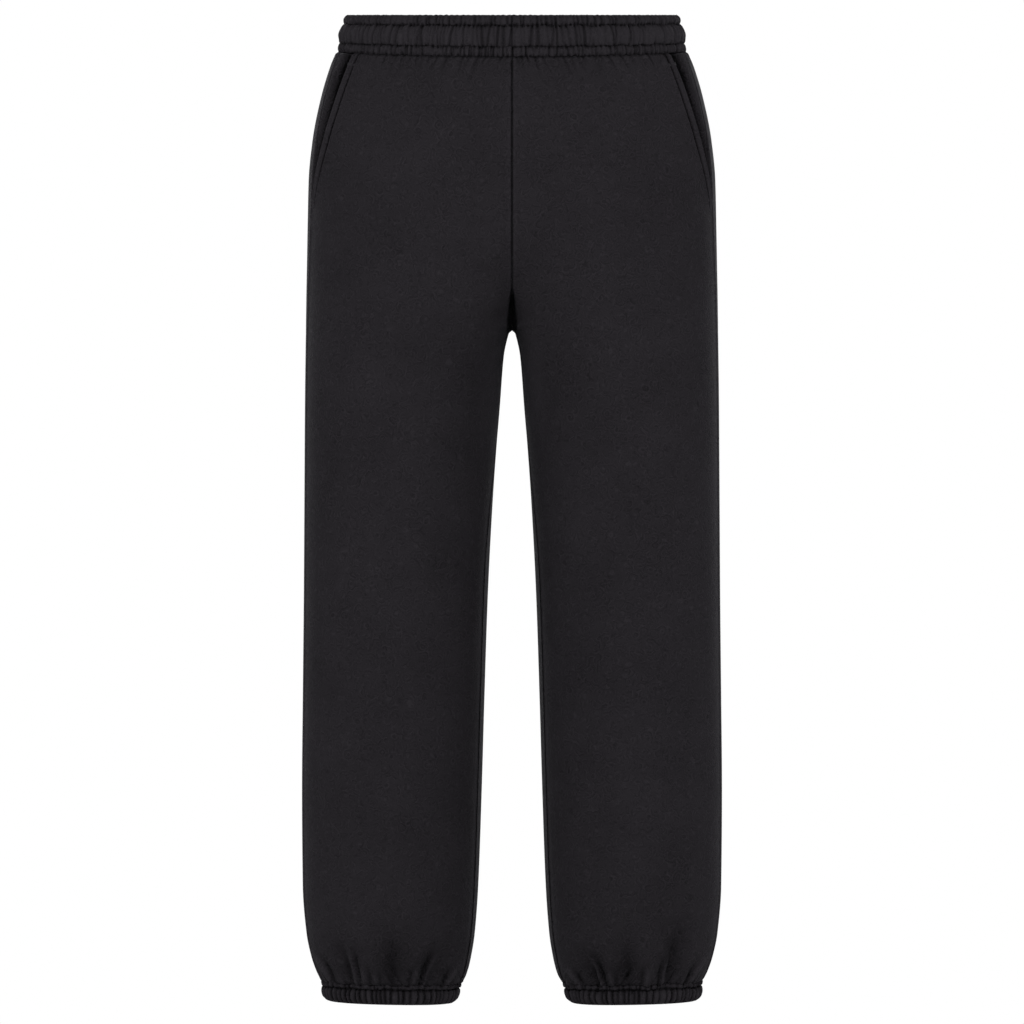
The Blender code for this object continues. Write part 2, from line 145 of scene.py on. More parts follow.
def inwards(drop, x):
    """How far inwards a point lies on its leg: 0 at the leg's middle line, 1 at its inner side."""
    middle = leg_middle(drop)
    return (middle - x) / (middle - section_size("inner", drop))


def outline(drop, angle, growth=0.0):
    """x and y of the left half's section, moved out by growth. The angle is 0 at the front of the lobe, 90 at
    the side, 180 at the back, and runs on past both to the crotch seam or the inseam. Each quarter is a
    superellipse: the sine of the angle across and its cosine in depth, each to the power 2 over the
    squareness. The gap between the legs moves the inner quarter by its share across, and near its top by a
    high power of that."""
    angle = np.where(angle > 270, angle - 360, angle)
    front_half = np.abs(angle) <= 90
    outer_half = (angle >= 0) & (angle <= 180)
    depth = np.where(front_half, -section_size("front", drop) - growth, section_size("back", drop) + growth)
    fork = np.where(front_half, section_size("fork_front", drop), section_size("fork_back", drop))
    lobe = section_size("lobe", drop) * leg_middle(drop)
    outer = section_size("outer", drop) + growth
    inner = np.maximum(section_size("inner", drop) - growth * (fork > LEG_FORK), CROTCH_GAP / 2)
    power = 2 / np.where(outer_half, OUTER_SQUARE, section_size("square", drop))
    across = np.abs(np.sin(np.radians(angle)))
    inner_share = np.clip(across / np.maximum(np.sin(np.radians(fork)), 1e-6), 0, 1) ** power
    hold, top, bottom = GAP_HOLD
    parted = inner * inner_share ** (1 + hold * (1 - ease(drop, top, bottom)))
    x = np.where(outer_half, lobe + (outer - lobe) * across**power, lobe * (1 - inner_share) + parted)
    y = depth * np.abs(np.cos(np.radians(angle))) ** power
    return np.maximum(x, CROTCH_GAP / 2), y


# The waist is higher behind, its seam dips at both middles, and the inner side of each cuff hangs lower.
BAND_TOP = -0.0190
WAIST_SLOPE = 0.088
WAIST_DIP = 0.0040
WAIST_SHAPE_END = 0.200
CUFF_INNER_LOWER = 0.0028
CUFF_TILT_START = 0.900


def height(drop, x, y):
    """z of a point: minus its drop, plus the waist's slope in y less its dip, which fade out down the hips,
    less the cuff's tilt, which grows inwards over the last stretch of the leg."""
    waist = 1 - ease(drop, WAIST_SEAM, WAIST_SHAPE_END)
    dip = WAIST_DIP * (1 - (x / section_size("outer", drop)) ** 2)
    dip = dip * np.clip((drop - BAND_TOP) / (WAIST_SEAM - BAND_TOP), 0, 1)
    tilt = CUFF_INNER_LOWER * inwards(drop, x) / 2 * ease(drop, CUFF_TILT_START, CUFF_SEAM)
    return -drop + waist * (WAIST_SLOPE * y - dip) - tilt


# The cut: the side seam and the inseam, in degrees round a section from its front, and the slant pocket.
SIDE_SEAM_ANGLE = 76.0
INSEAM_FORWARD = 19.0
INSEAM_FORWARD_SPAN = (0.330, 0.560)
POCKET_WIDTH = 0.0285
POCKET_TOP = 0.0325
POCKET_END = 0.176
POCKET_BOW = 2.2

# The fleece's rows, as (end drop, steps): close at the waist, the crotch and the ankle. Its columns are close
# within reach of a seam, and the pocket's topstitch runs along one of them.
ROW_SPANS = ((0.052, 40), (0.190, 60), (0.255, 26), (0.345, 50), (0.880, 60), (0.936, 26), (0.976, 38))
NEAR_SEAM = 0.0108
NEAR_SEAM_COLUMNS = 17
HEM_COLUMN = 13
POCKET_HEM = HEM_COLUMN / (NEAR_SEAM_COLUMNS - 1) * NEAR_SEAM
PANEL_COLUMNS = 205
FINE = 1600


def row_drops():
    """Drops of the fleece's rows, each span of ROW_SPANS in even steps."""
    drops = [WAIST_SEAM + SEAM_GAP / 2]
    for end, steps in ROW_SPANS:
        drops.extend(np.linspace(drops[-1], end, steps + 1)[1:])
    drops[-1] -= SEAM_GAP / 2
    return np.array(drops)


def inseam_angle(drops):
    """Where the front ends inwards: minus the fork's angle at the crotch seam, then eased forward down the
    leg."""
    return INSEAM_FORWARD * ease(drops, *INSEAM_FORWARD_SPAN) - section_size("fork_front", drops)


def pocket_distance(drops):
    """How far in front of the side seam the pocket's edge lies: its width times 1 less the run to a power."""
    run = np.clip((drops - WAIST_SEAM) / (POCKET_END - WAIST_SEAM), 0, 1)
    return POCKET_WIDTH * (1 - run**POCKET_BOW)


def carry_lines(drops, end_angle):
    """Carry a fine line round each section from the side seam to the end angle: its points and arc
    lengths."""
    share = np.linspace(0, 1, FINE)
    drop = np.repeat(drops[:, None], FINE, 1)
    x, y = outline(drop, SIDE_SEAM_ANGLE + (end_angle[:, None] - SIDE_SEAM_ANGLE) * share)
    points = np.dstack((x, y, height(drop, x, y)))
    steps = np.linalg.norm(np.diff(points, axis=1), axis=2)
    return points, np.concatenate((np.zeros((len(drops), 1)), np.cumsum(steps, axis=1)), 1)


def read_lines(points, arc, places):
    """Read every line at its own arc lengths at once: each line's arc is moved past the last one's, so that
    they make a single rising scale, and the points are taken straight between neighbours on it."""
    shift = np.arange(len(arc))[:, None] * (arc.max() + 1)
    scale = (arc + shift).ravel()
    return np.dstack([np.interp(places + shift, scale, points[..., axis].ravel()) for axis in range(3)])


def seam_columns(start, end, count):
    """Arc lengths of the columns of each row: even and close near both seams, and even between."""
    near = np.linspace(0, NEAR_SEAM, NEAR_SEAM_COLUMNS)
    middle = np.linspace(0, 1, count - 2 * NEAR_SEAM_COLUMNS + 2)[1:-1]
    narrow = np.minimum(1, (end - start)[:, None] / (3 * NEAR_SEAM))
    first = start[:, None] + near * narrow
    last = end[:, None] - near[::-1] * narrow
    return np.concatenate((first, first[:, -1:] + (last[:, :1] - first[:, -1:]) * middle, last), 1)


def unit(vectors):
    """Vectors divided by their lengths."""
    return vectors / np.maximum(np.linalg.norm(vectors, axis=-1, keepdims=True), 1e-12)


def normals_of(points, turn):
    """Normals of a grid: the step across crossed with the step down, turned outwards by a sign."""
    return turn * unit(np.cross(np.gradient(points, axis=1), np.gradient(points, axis=0)))


# Beside the waist seam and the cuff seam cloth can move in or out but not up or down, within these reaches.
SEAM_LEVEL = (0.0060, 0.0130)


def level_near_seams(normals, drop):
    """Normals laid level beside the waist and cuff seams: their z is cut by a bell over the distance."""
    at_waist, at_cuff = SEAM_LEVEL
    levelled = normals.copy()
    levelled[..., 2] *= (1 - dome(drop, WAIST_SEAM, at_waist)) * (1 - dome(drop, CUFF_SEAM, at_cuff))
    return unit(levelled)


# Folds that rise from a cuff, for each leg (+1 left) and face (+1 front): place at the top and at the cuff
# outwards from the leg's middle, drop at the top, depth, and half width at the cuff. Broad folds come first,
# then narrow creases.
FOLDS = {
    (+1, +1): (
        (0.046, 0.035, 0.890, 0.0080, 0.0100),
        (-0.008, -0.006, 0.905, 0.0075, 0.0110),
        (-0.051, -0.037, 0.925, 0.0080, 0.0100),
    ),
    (+1, -1): (
        (0.046, 0.034, 0.905, 0.0080, 0.0120),
        (0.000, 0.004, 0.885, 0.0070, 0.0130),
        (-0.045, -0.033, 0.915, 0.0075, 0.0110),
    ),
    (-1, +1): (
        (0.052, 0.042, 0.915, 0.0080, 0.0100),
        (-0.004, -0.002, 0.900, 0.0085, 0.0120),
        (-0.050, -0.036, 0.920, 0.0080, 0.0110),
    ),
    (-1, -1): (
        (0.044, 0.036, 0.890, 0.0075, 0.0120),
        (0.008, 0.002, 0.915, 0.0080, 0.0120),
        (-0.048, -0.034, 0.900, 0.0075, 0.0120),
    ),
}
CREASES = {
    (-1, +1): (
        (0.0755, 0.0570, 0.935, 0.0030, 0.0028),
        (0.0390, 0.0310, 0.925, 0.0026, 0.0026),
        (0.0240, 0.0200, 0.950, 0.0022, 0.0030),
        (0.0120, 0.0100, 0.957, 0.0018, 0.0022),
        (-0.0230, -0.0180, 0.953, 0.0020, 0.0026),
        (-0.0464, -0.0302, 0.935, 0.0028, 0.0026),
        (-0.0657, -0.0520, 0.950, 0.0026, 0.0026),
    ),
    (-1, -1): (
        (0.0660, 0.0520, 0.940, 0.0028, 0.0028),
        (0.0250, 0.0220, 0.950, 0.0024, 0.0028),
        (-0.0180, -0.0140, 0.945, 0.0024, 0.0026),
        (-0.0640, -0.0500, 0.943, 0.0028, 0.0028),
    ),
    (+1, +1): (
        (-0.0649, -0.0504, 0.953, 0.0028, 0.0028),
        (-0.0442, -0.0277, 0.936, 0.0026, 0.0026),
        (-0.0200, -0.0170, 0.956, 0.0018, 0.0024),
        (0.0100, 0.0080, 0.950, 0.0020, 0.0026),
        (0.0303, 0.0254, 0.943, 0.0026, 0.0024),
        (0.0690, 0.0530, 0.942, 0.0028, 0.0028),
    ),
    (+1, -1): (
        (0.0620, 0.0500, 0.944, 0.0028, 0.0026),
        (0.0220, 0.0190, 0.952, 0.0022, 0.0028),
        (-0.0220, -0.0190, 0.947, 0.0024, 0.0026),
        (-0.0660, -0.0520, 0.944, 0.0028, 0.0028),
    ),
}
FOLD_TOP_SPREAD = 1.9
FOLD_FULL = 0.8
FOLD_SIDE_FADE = 0.020
FOLD_CORE = (0.40, 2.6)
FOLD_AT_SEAM = (0.70, 0.008)
CREST = (0.90, 1.6, 0.6)


def fold_depth(table, leg, drop, x, y):
    """How far the folds of a table push one leg's cloth in: for each a bell across with a sharp core, whose
    middle and width run from its top to the cuff, times an ease down its length and an ease over the side
    seam onto its own face. A crease has a crest, a low bell on its side away from the leg's middle. All of
    them grow shallower where the cuff seam draws the cloth tight."""
    pushed = np.zeros_like(x)
    middle = leg_middle(drop)
    core, sharpness = FOLD_CORE
    for face in (+1, -1):
        own_face = ease(-face * y, 0, FOLD_SIDE_FADE)
        for place_top, place_cuff, drop_top, depth, half_width in table[leg, face]:
            run = np.clip((drop - drop_top) / (CUFF_SEAM - drop_top), 0, 1)
            place = place_top + (place_cuff - place_top) * run
            off = (x - middle - place) / (half_width * (FOLD_TOP_SPREAD + (1 - FOLD_TOP_SPREAD) * run))
            across = (1 - core) * dome(off, 0, 1) + core * np.exp(-sharpness * np.abs(off))
            if table is CREASES:
                across = across - bell(off * np.sign(place), *CREST)
            pushed += depth * ease(run, 0, FOLD_FULL) * across * own_face
    share, reach = FOLD_AT_SEAM
    return pushed * (1 - (1 - share) * ease(drop, CUFF_SEAM - reach, CUFF_SEAM))


# The seams: the bells of cloth beside them, how they stray, and the puckers that hang from the waist seam and
# rise from the cuff seam: a valley of (share, power) in a bowl, with a ridge, and random widths and reaches.
SEAM_DIP = (0.0017, 0.0, 0.0009)
SEAM_SWELL = (0.00035, 0.0026, 0.0013)
SEAM_HOLD = 0.0060
SEAM_WANDER = (0.0005, 0.011, 0.004)
BODY_RADIUS = 0.16
CUFF_WANDER = (0.0018, (8, 13, 21, 30), 0.0055)
CUFF_ROLL = 0.30
WAIST_TUCK = (0.0004, 0.0, 0.0025)
CUFF_PUFF = (0.0020, 0.0030, 0.0062)
PUCKER_VALLEY = (0.65, 1.3)
PUCKER_BOWL = (0.35, 0.0, 2.4)
PUCKER_RIDGE = (0.28, 2.4, 1.1)
PUCKER_DEEPEST = 1.35
PUCKER_WIDTHS = (0.7, 1.4)
PUCKER_REACHES = (0.45, 1.7)
WAVE_LENGTHS = (0.6, 2.4)
WAIST_PUCKER = {"pitch": 0.0068, "depth": 0.0015, "width": 0.0011, "reach": 0.0105, "lean": 0.12}
CUFF_PUCKER = {"pitch": 0.0070, "depth": 0.0014, "width": 0.0013, "reach": 0.0100, "lean": 0.12}
SEAM_NOTCH = {"pitch": 0.0042, "depth": 0.0024, "width": 0.0010, "reach": 0.0016, "lean": 0.0}


def seam_roll(distance):
    """Height of cloth beside a seam: a narrow dip at the edge and a low swell over the allowance."""
    return bell(distance, *SEAM_SWELL) - bell(distance, *SEAM_DIP)


def wave(along, seed, height_of_wave, pitch):
    """A slow uneven wave along a seam: three sines of random lengths near the pitch and random starts."""
    chance = np.random.default_rng(seed)
    lengths = pitch * chance.uniform(*WAVE_LENGTHS, 3)
    starts = chance.uniform(0, 2 * np.pi, 3)
    return height_of_wave * np.mean(np.sin(2 * np.pi * along[..., None] / lengths + starts), -1)


def seam_wander(x, y, leg, distance):
    """How far the waist seam strays up or down beside a point: a wave over the angle round the body, its own
    for each side and level at both middles, that fades as a bell with the distance from the seam."""
    height_of_wave, pitch, reach = SEAM_WANDER
    round_body = np.arctan2(np.abs(x), -y)
    left, right = (wave(BODY_RADIUS * round_body, seed, height_of_wave, pitch) for seed in (71, 70))
    return np.where(leg > 0, left, right) * np.sin(round_body) ** 0.5 * dome(distance, 0, reach)


def cuff_wander(x, y, leg, distance):
    """How far a cuff seam strays up or down beside a point: the mean of sines of whole multiples of the angle
    round the leg, which fades as a bell with the distance from the seam."""
    height_of_wave, waves, reach = CUFF_WANDER
    round_leg = np.arctan2(x - leg_middle(CUFF_SEAM), -y)[..., None]
    starts = np.random.default_rng(80 + leg).uniform(0, 2 * np.pi, len(waves))
    return height_of_wave * np.mean(np.sin(round_leg * waves + starts), -1) * dome(distance, 0, reach)


def pucker_depth(along, away, seed, pitch, depth, width, reach, lean, depth_seed=0, least=0.25, uneven=0.55):
    """Depth of the puckers that a gathered seam throws. Their places step along it by an uneven pitch, and
    each has its own depth, width, reach and lean. A point takes the nearest: a sharp valley across, the
    exponential of minus the distance in widths to a power, in a soft bowl, with a low ridge on one side. It
    fades as a bell with the distance away."""
    chance = np.random.default_rng(seed)
    count = int(along.max() / pitch) + 2
    place = np.cumsum(pitch * chance.uniform(1 - uneven, 1 + uneven, count)) - pitch
    pick = np.clip(np.searchsorted((place[1:] + place[:-1]) / 2, along), 0, count - 1)
    chance = np.random.default_rng(seed + depth_seed)
    depths = depth * chance.uniform(least, PUCKER_DEEPEST, count)[pick]
    widths = width * chance.uniform(*PUCKER_WIDTHS, count)[pick]
    reaches = reach * chance.uniform(*PUCKER_REACHES, count)[pick]
    leans = lean * chance.uniform(-1, 1, count)[pick]
    sides = chance.choice((-1, 1), count)[pick]
    distance = sides * (along - place[pick] - leans * away) / widths
    valley, power = PUCKER_VALLEY
    across = valley * np.exp(-(np.abs(distance) ** power))
    across = across + bell(distance, *PUCKER_BOWL) - bell(distance, *PUCKER_RIDGE)
    return depths * across * dome(away, 0, reaches)


# The pit between the thighs where the cloth turns under to the crotch seam: its half width down the front,
# its depth, the most of the way back that it may go, and how steep its wall is. Above it the crotch seam is a
# slit.
PIT_DROPS = (0.2665, 0.271, 0.288, 0.305, 0.320, 0.340)
PIT_HALF_WIDTHS = (0.0000, 0.0017, 0.0036, 0.0042, 0.0044, 0.0044)
PIT_DEPTH = 0.036
PIT_SHARE = 0.70
PIT_WALL = 0.0005
CROTCH_SLIT = (0.00018, 0.0008, 0.010)

# Wear and painted shade: steps of relief and their limits; then painted shade, darker in colour as shade, in
# the folds, in the pit, on the thighs beside it, on the inner leg and on the seams (of the front, 1, and of
# the back, -1); and painted light, paler in colour, down the inner thigh and beside the inseam.
WEAR_AND_SHADE_STEP = 0.0014
WEAR_AND_SHADE_LIMITS = (-1.90, 0.80)
FOLD_PAINTED_SHADE = 0.26
PIT_PAINTED_SHADOW = (2.6, 0.0003, 0.0030)
THIGH_PAINTED_SHADE = (0.55, 0.252, 0.036)
THIGH_REACH = 0.028
INNER_SPAN = (0.00, 0.50)
INNER_END = (0.70, 1.00)
INNER_PAINTED_SHADE = (0.26, 0.370, 0.520)
INNER_HOLLOW_SHADE = (0.36, 0.356, 0.080)
INNER_PAINTED_LIGHT = (1.30, 0.366, 0.070)
INNER_LIGHT_SPAN = (0.70, 0.97)
CROTCH_SEAM_PAINTED_SHADE = (1.7, 0.0, 0.0004)
INSEAM_PAINTED_SHADOW = {1: (1.9, 0.0, 0.0016), -1: (1.9, 0.0, 0.0034)}
INSEAM_PAINTED_HIGHLIGHT = (0.8, 0.0058, 0.0026)


def wear_and_shade_of(relief):
    """Wear and painted shade from the relief: paler where the cloth stands proud, as wear, and darker down in
    it, as painted shade, in steps of a set height.
    """
    return np.clip(relief / WEAR_AND_SHADE_STEP, *WEAR_AND_SHADE_LIMITS)


def panel_wear_and_shade(relief, pushed, dug, drop, x, to_end, turn):
    """Wear and painted shade of a panel: that of its relief, and painted shade by a share of its folds'
    depth; less painted shade as an ease into the pit, bells over the thigh beside it, eases and a bell down
    the inner leg, and bells on the crotch seam and the inseam; plus painted light as a bell down the inner
    thigh and one beside the inseam."""
    above = 1 - on_leg[:, None]
    inward = inwards(drop, x)
    # Wear and painted shade from the relief, with painted shade in the folds' troughs.
    wear = wear_and_shade_of(relief - FOLD_PAINTED_SHADE * np.maximum(pushed, 0))
    # Painted shadow in the pit between the thighs, and painted shade over the thighs beside it and down the
    # inner leg.
    darker, shallow, deep = PIT_PAINTED_SHADOW
    wear -= darker * ease(dug, shallow, deep)
    wear -= bell(drop, *THIGH_PAINTED_SHADE) * dome(x, 0, THIGH_REACH)
    darker, inner_top, inner_full = INNER_PAINTED_SHADE
    down_leg = darker * ease(drop, inner_top, inner_full) + bell(drop, *INNER_HOLLOW_SHADE)
    wear -= down_leg * ease(inward, *INNER_SPAN) * (1 - ease(inward, *INNER_END))
    # Painted light down the inner thigh, near the leg's inner side.
    wear += bell(drop, *INNER_PAINTED_LIGHT) * ease(inward, *INNER_LIGHT_SPAN)
    # Painted shade along the crotch seam.
    wear -= above * bell(to_end, *CROTCH_SEAM_PAINTED_SHADE)
    # Painted highlight beside the inseam, less painted shadow along it.
    return wear + (1 - above) * (bell(to_end, *INSEAM_PAINTED_HIGHLIGHT) - bell(to_end, *INSEAM_PAINTED_SHADOW[turn]))


def grid_quads(index):
    """The quads of a grid of point numbers: each takes a point, the next across, and the two below them."""
    return np.stack((index[:-1, :-1], index[:-1, 1:], index[1:, 1:], index[1:, :-1]), 2).reshape(-1, 4)


def rim_faces(edge, under, skip):
    """Faces between an edge outside and the same edge inside: skip steps back on one, one on the other."""
    outer = np.lib.stride_tricks.sliding_window_view(edge, skip + 1)[::skip]
    return np.concatenate((outer[:, ::-1], under[:-1, None], under[1:, None]), 1)


def cloth_wall(name, outside, inside, wear, coarse=(2, 3)):
    """Close two grids of points into one wall of cloth. The outside is quads; the inside takes only every so
    many rows and columns, turned round; and a rim joins them, each face of it with one inner edge and as many
    outer ones as that skips. The faces are turned if the outside's look in: each is the step across crossed
    with the step down."""
    rows, columns = outside.shape[:2]
    down, across = coarse
    index = np.arange(rows * columns).reshape(rows, columns)
    behind = inside[::down, ::across]
    under = rows * columns + np.arange(behind.shape[0] * behind.shape[1]).reshape(behind.shape[:2])
    polygons = [
        grid_quads(index),
        grid_quads(under)[:, ::-1],
        rim_faces(index[0], under[0], across),
        rim_faces(index[:, -1], under[:, -1], down),
        rim_faces(index[-1, ::-1], under[-1, ::-1], across),
        rim_faces(index[::-1, 0], under[::-1, 0], down),
    ]
    facing = np.cross(outside[:-1, 1:] - outside[:-1, :-1], outside[1:, :-1] - outside[:-1, :-1])
    if np.sum(facing * (outside - inside)[:-1, :-1]) < 0:
        polygons = [faces[:, ::-1] for faces in polygons]
    points = np.concatenate((outside.reshape(-1, 3), behind.reshape(-1, 3)))
    return mesh_piece(name, points, polygons, np.concatenate((wear.ravel(), np.zeros(under.size))))


RIM_ANGLE = 75.0


def mesh_piece(name, points, polygons, wear):
    """Put points, arrays of faces and the wear and painted shade of each point into a mesh, shaded smooth but
    for its rims.
    """
    mesh = bpy.data.meshes.new(name)
    corners = np.concatenate([faces.ravel() for faces in polygons]).astype(np.int32)
    sizes = np.concatenate([np.full(len(faces), faces.shape[1]) for faces in polygons])
    mesh.vertices.add(len(points))
    mesh.vertices.foreach_set("co", points.astype(np.float32).ravel())
    mesh.loops.add(len(corners))
    mesh.loops.foreach_set("vertex_index", corners)
    mesh.polygons.add(len(sizes))
    mesh.polygons.foreach_set("loop_start", (np.cumsum(sizes) - sizes).astype(np.int32))
    mesh.update(calc_edges=True)
    mesh.attributes.new("wear", "FLOAT", "POINT").data.foreach_set("value", wear.astype(np.float32))
    mesh.shade_smooth()
    mesh.set_sharp_from_angle(angle=np.radians(RIM_ANGLE))
    piece = bpy.data.objects.new(name, mesh)
    bpy.context.scene.collection.objects.link(piece)
    return piece


def mirrored(points, leg):
    """The left leg's points, or their mirror image in x for the right leg."""
    return points * (leg, 1, 1)


# The fleece's finish. Two sets of nap arcs are (scale of the points, turns, offset), and broken is the level
# and the steepness at which noise breaks them. Shares say how much each part of the nap shades or raises the
# cloth.
BLACK = (0.0174, 0.0158, 0.0183)
NAP_ARCS = ((88.0, 25.0, (3.1, 0.4, 1.7)), (117.0, 20.0, (7.9, 2.2, 5.3)))
ARC_SHIFTS = {"pale": 0.0, "dark": 1.8}
ARC_POWER = 4.0
ARC_PUSH = (1.5, 0.0035)
ARC_BROKEN = (1.6, 0.46, 12.0)
ARC_CLEAR = (0.15, 10.0)
NOISES = {"fuzz": (1100.0, 2.0), "lumps": (95.0, 2.0), "wash": (17.0, 3.0)}
NAP_SHADES = {"pale": 0.33, "dark": -0.25, "fuzz": 0.95}
WASH_SHADES = {"wash": 0.40, "lumps": 0.14}
# How much the value of wear and of painted shade and painted light changes the colour.
WEAR_AND_SHADE_SCALE = 0.35
DARKEST = 0.04
NAP_HEIGHTS = {"pale": 0.4, "dark": -0.4, "fuzz": 0.9, "lumps": 0.3}
NAP_BUMP = {"Strength": 0.8, "Distance": 0.0006}
FLEECE_FINISH = {
    "Roughness": 0.92,
    "Specular IOR Level": 0.03,
    "Sheen Weight": 0.030,
    "Sheen Roughness": 0.35,
    "Sheen Tint": (0.90, 0.90, 1.0, 1.0),
}


def node_maker(tree):
    """Return a function that adds a node, sets its plain properties and sockets, and links the rest."""

    def add(kind, *inputs, output=0, **properties):
        node = tree.nodes.new(kind)
        for name, value in properties.items():
            setattr(node, name, value)
        for name, value in inputs:
            if isinstance(value, bpy.types.NodeSocket):
                tree.links.new(value, node.inputs[name])
            else:
                node.inputs[name].default_value = value
        return node.outputs[output]

    return add


def fleece_group():
    """Brushed fleece as a node group. Curled nap lies in arcs round scattered points, which a slow noise
    pushes out of round: the sine of the distance to the nearest point times a number of turns, to a power,
    draws thin pale arcs, and dark ones beside them, but none close to the point, and another noise breaks
    them up. Wash and lumps are slow noise, and fuzz is fast noise. The wear-and-shade input pales the colour
    as wear where the cloth stands proud and as painted light on the inner thighs, beside the inseams and on
    the pocket facings, and darkens it as painted shade where the cloth lies deep: in valleys, folds, grooves,
    seams, the pit and the inner legs."""
    group = bpy.data.node_groups.new("brushed_fleece", "ShaderNodeTree")
    for name, kind, value in (
        ("Cloth Colour", "NodeSocketColor", (0.02, 0.02, 0.02, 1.0)),
        ("Nap", "NodeSocketFloat", 1.0),
        ("Wash", "NodeSocketFloat", 1.0),
        ("Wear", "NodeSocketFloat", 0.0),
    ):
        socket = group.interface.new_socket(name, in_out="INPUT", socket_type=kind)
        socket.default_value = value
    group.interface.new_socket("Colour", in_out="OUTPUT", socket_type="NodeSocketColor")
    group.interface.new_socket("Height", in_out="OUTPUT", socket_type="NodeSocketFloat")
    add = node_maker(group)
    given = group.nodes.new("NodeGroupInput").outputs
    place = add("ShaderNodeTexCoord", output="Object")

    def noise(scale, detail, at=place, kind="Fac"):
        return add("ShaderNodeTexNoise", ("Vector", at), ("Scale", scale), ("Detail", detail), output=kind)

    def maths(operation, *values, clamp=False):
        return add("ShaderNodeMath", *enumerate(values), operation=operation, use_clamp=clamp)

    def above(value, level, steepness):
        return maths("MULTIPLY", maths("SUBTRACT", value, level), steepness, clamp=True)

    def vector(operation, *values):
        return add("ShaderNodeVectorMath", *enumerate(values), operation=operation, output="Vector")

    def total(shares, parts):
        summed = 0.0
        for name, share in shares.items():
            summed = maths("MULTIPLY_ADD", parts[name], share, summed)
        return summed

    def arcs(scale, turns, offset):
        moved = vector("ADD", place, offset)
        slower, push = ARC_PUSH
        pushed = vector("MULTIPLY_ADD", noise(scale * slower, 0.0, moved, "Color"), (push, push, push), moved)
        far = add("ShaderNodeTexVoronoi", ("Vector", pushed), ("Scale", scale), output="Distance")
        phase = maths("MULTIPLY", far, turns)
        slower, *broken = ARC_BROKEN
        shown = maths("MULTIPLY", above(noise(scale * slower, 0.0, moved), *broken), above(far, *ARC_CLEAR))
        lines = {}
        for name, shift in ARC_SHIFTS.items():
            crest = maths("MAXIMUM", maths("SINE", maths("ADD", phase, shift)), 0.0)
            lines[name] = maths("MULTIPLY", maths("POWER", crest, ARC_POWER), shown)
        return lines

    first, second = (arcs(*row) for row in NAP_ARCS)
    parts = {name: maths("MAXIMUM", first[name], second[name]) for name in first}
    parts |= {name: maths("SUBTRACT", noise(*row), 0.5) for name, row in NOISES.items()}
    nap = maths("MULTIPLY", total(NAP_SHADES, parts), given["Nap"])
    wash = maths("MULTIPLY", total(WASH_SHADES, parts), given["Wash"])
    shade = maths("MULTIPLY_ADD", given["Wear"], WEAR_AND_SHADE_SCALE, maths("ADD", nap, wash))
    shade = maths("MAXIMUM", maths("ADD", shade, 1.0), DARKEST)
    colour = vector("SCALE", given["Cloth Colour"])
    group.links.new(shade, colour.node.inputs["Scale"])
    out = group.nodes.new("NodeGroupOutput")
    group.links.new(colour, out.inputs["Colour"])
    group.links.new(maths("MULTIPLY", total(NAP_HEIGHTS, parts), given["Nap"]), out.inputs["Height"])
    return group


fleece_nodes = fleece_group()


def new_material(name, finish):
    """A material with a finish's plain values. Returns it, its surface's sockets and its node maker."""
    material = bpy.data.materials.new(name)
    material.use_nodes = True
    surface = material.node_tree.nodes["Principled BSDF"].inputs
    for socket, value in finish.items():
        surface[socket].default_value = value
    return material, surface, node_maker(material.node_tree)


def fleece_material(name, nap=1.0, wash=1.0):
    """One piece's fleece: the shared group's colour and height in a rough surface with a soft sheen."""
    material, surface, add = new_material(name, FLEECE_FINISH)
    # The point's wear, painted shade and painted light, read from the mesh.
    wear_and_shade_value = add("ShaderNodeAttribute", output="Fac", attribute_name="wear")
    given = (("Cloth Colour", (*BLACK, 1.0)), ("Nap", nap), ("Wash", wash), ("Wear", wear_and_shade_value))
    colour = add("ShaderNodeGroup", *given, output="Colour", node_tree=fleece_nodes)
    rise = colour.node.outputs["Height"]
    bump = add("ShaderNodeBump", ("Height", rise), *NAP_BUMP.items(), output="Normal")
    material.node_tree.links.new(colour, surface["Base Color"])
    material.node_tree.links.new(bump, surface["Normal"])
    return material


def dress(piece, material, node, stands=True):
    """Finish a piece: give it its material and the body it rides on, and hide the solid it stands for, unless
    it is only an allowance or thread."""
    piece.data.materials.append(material)
    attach(piece, "root")
    if stands:
        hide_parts(node)


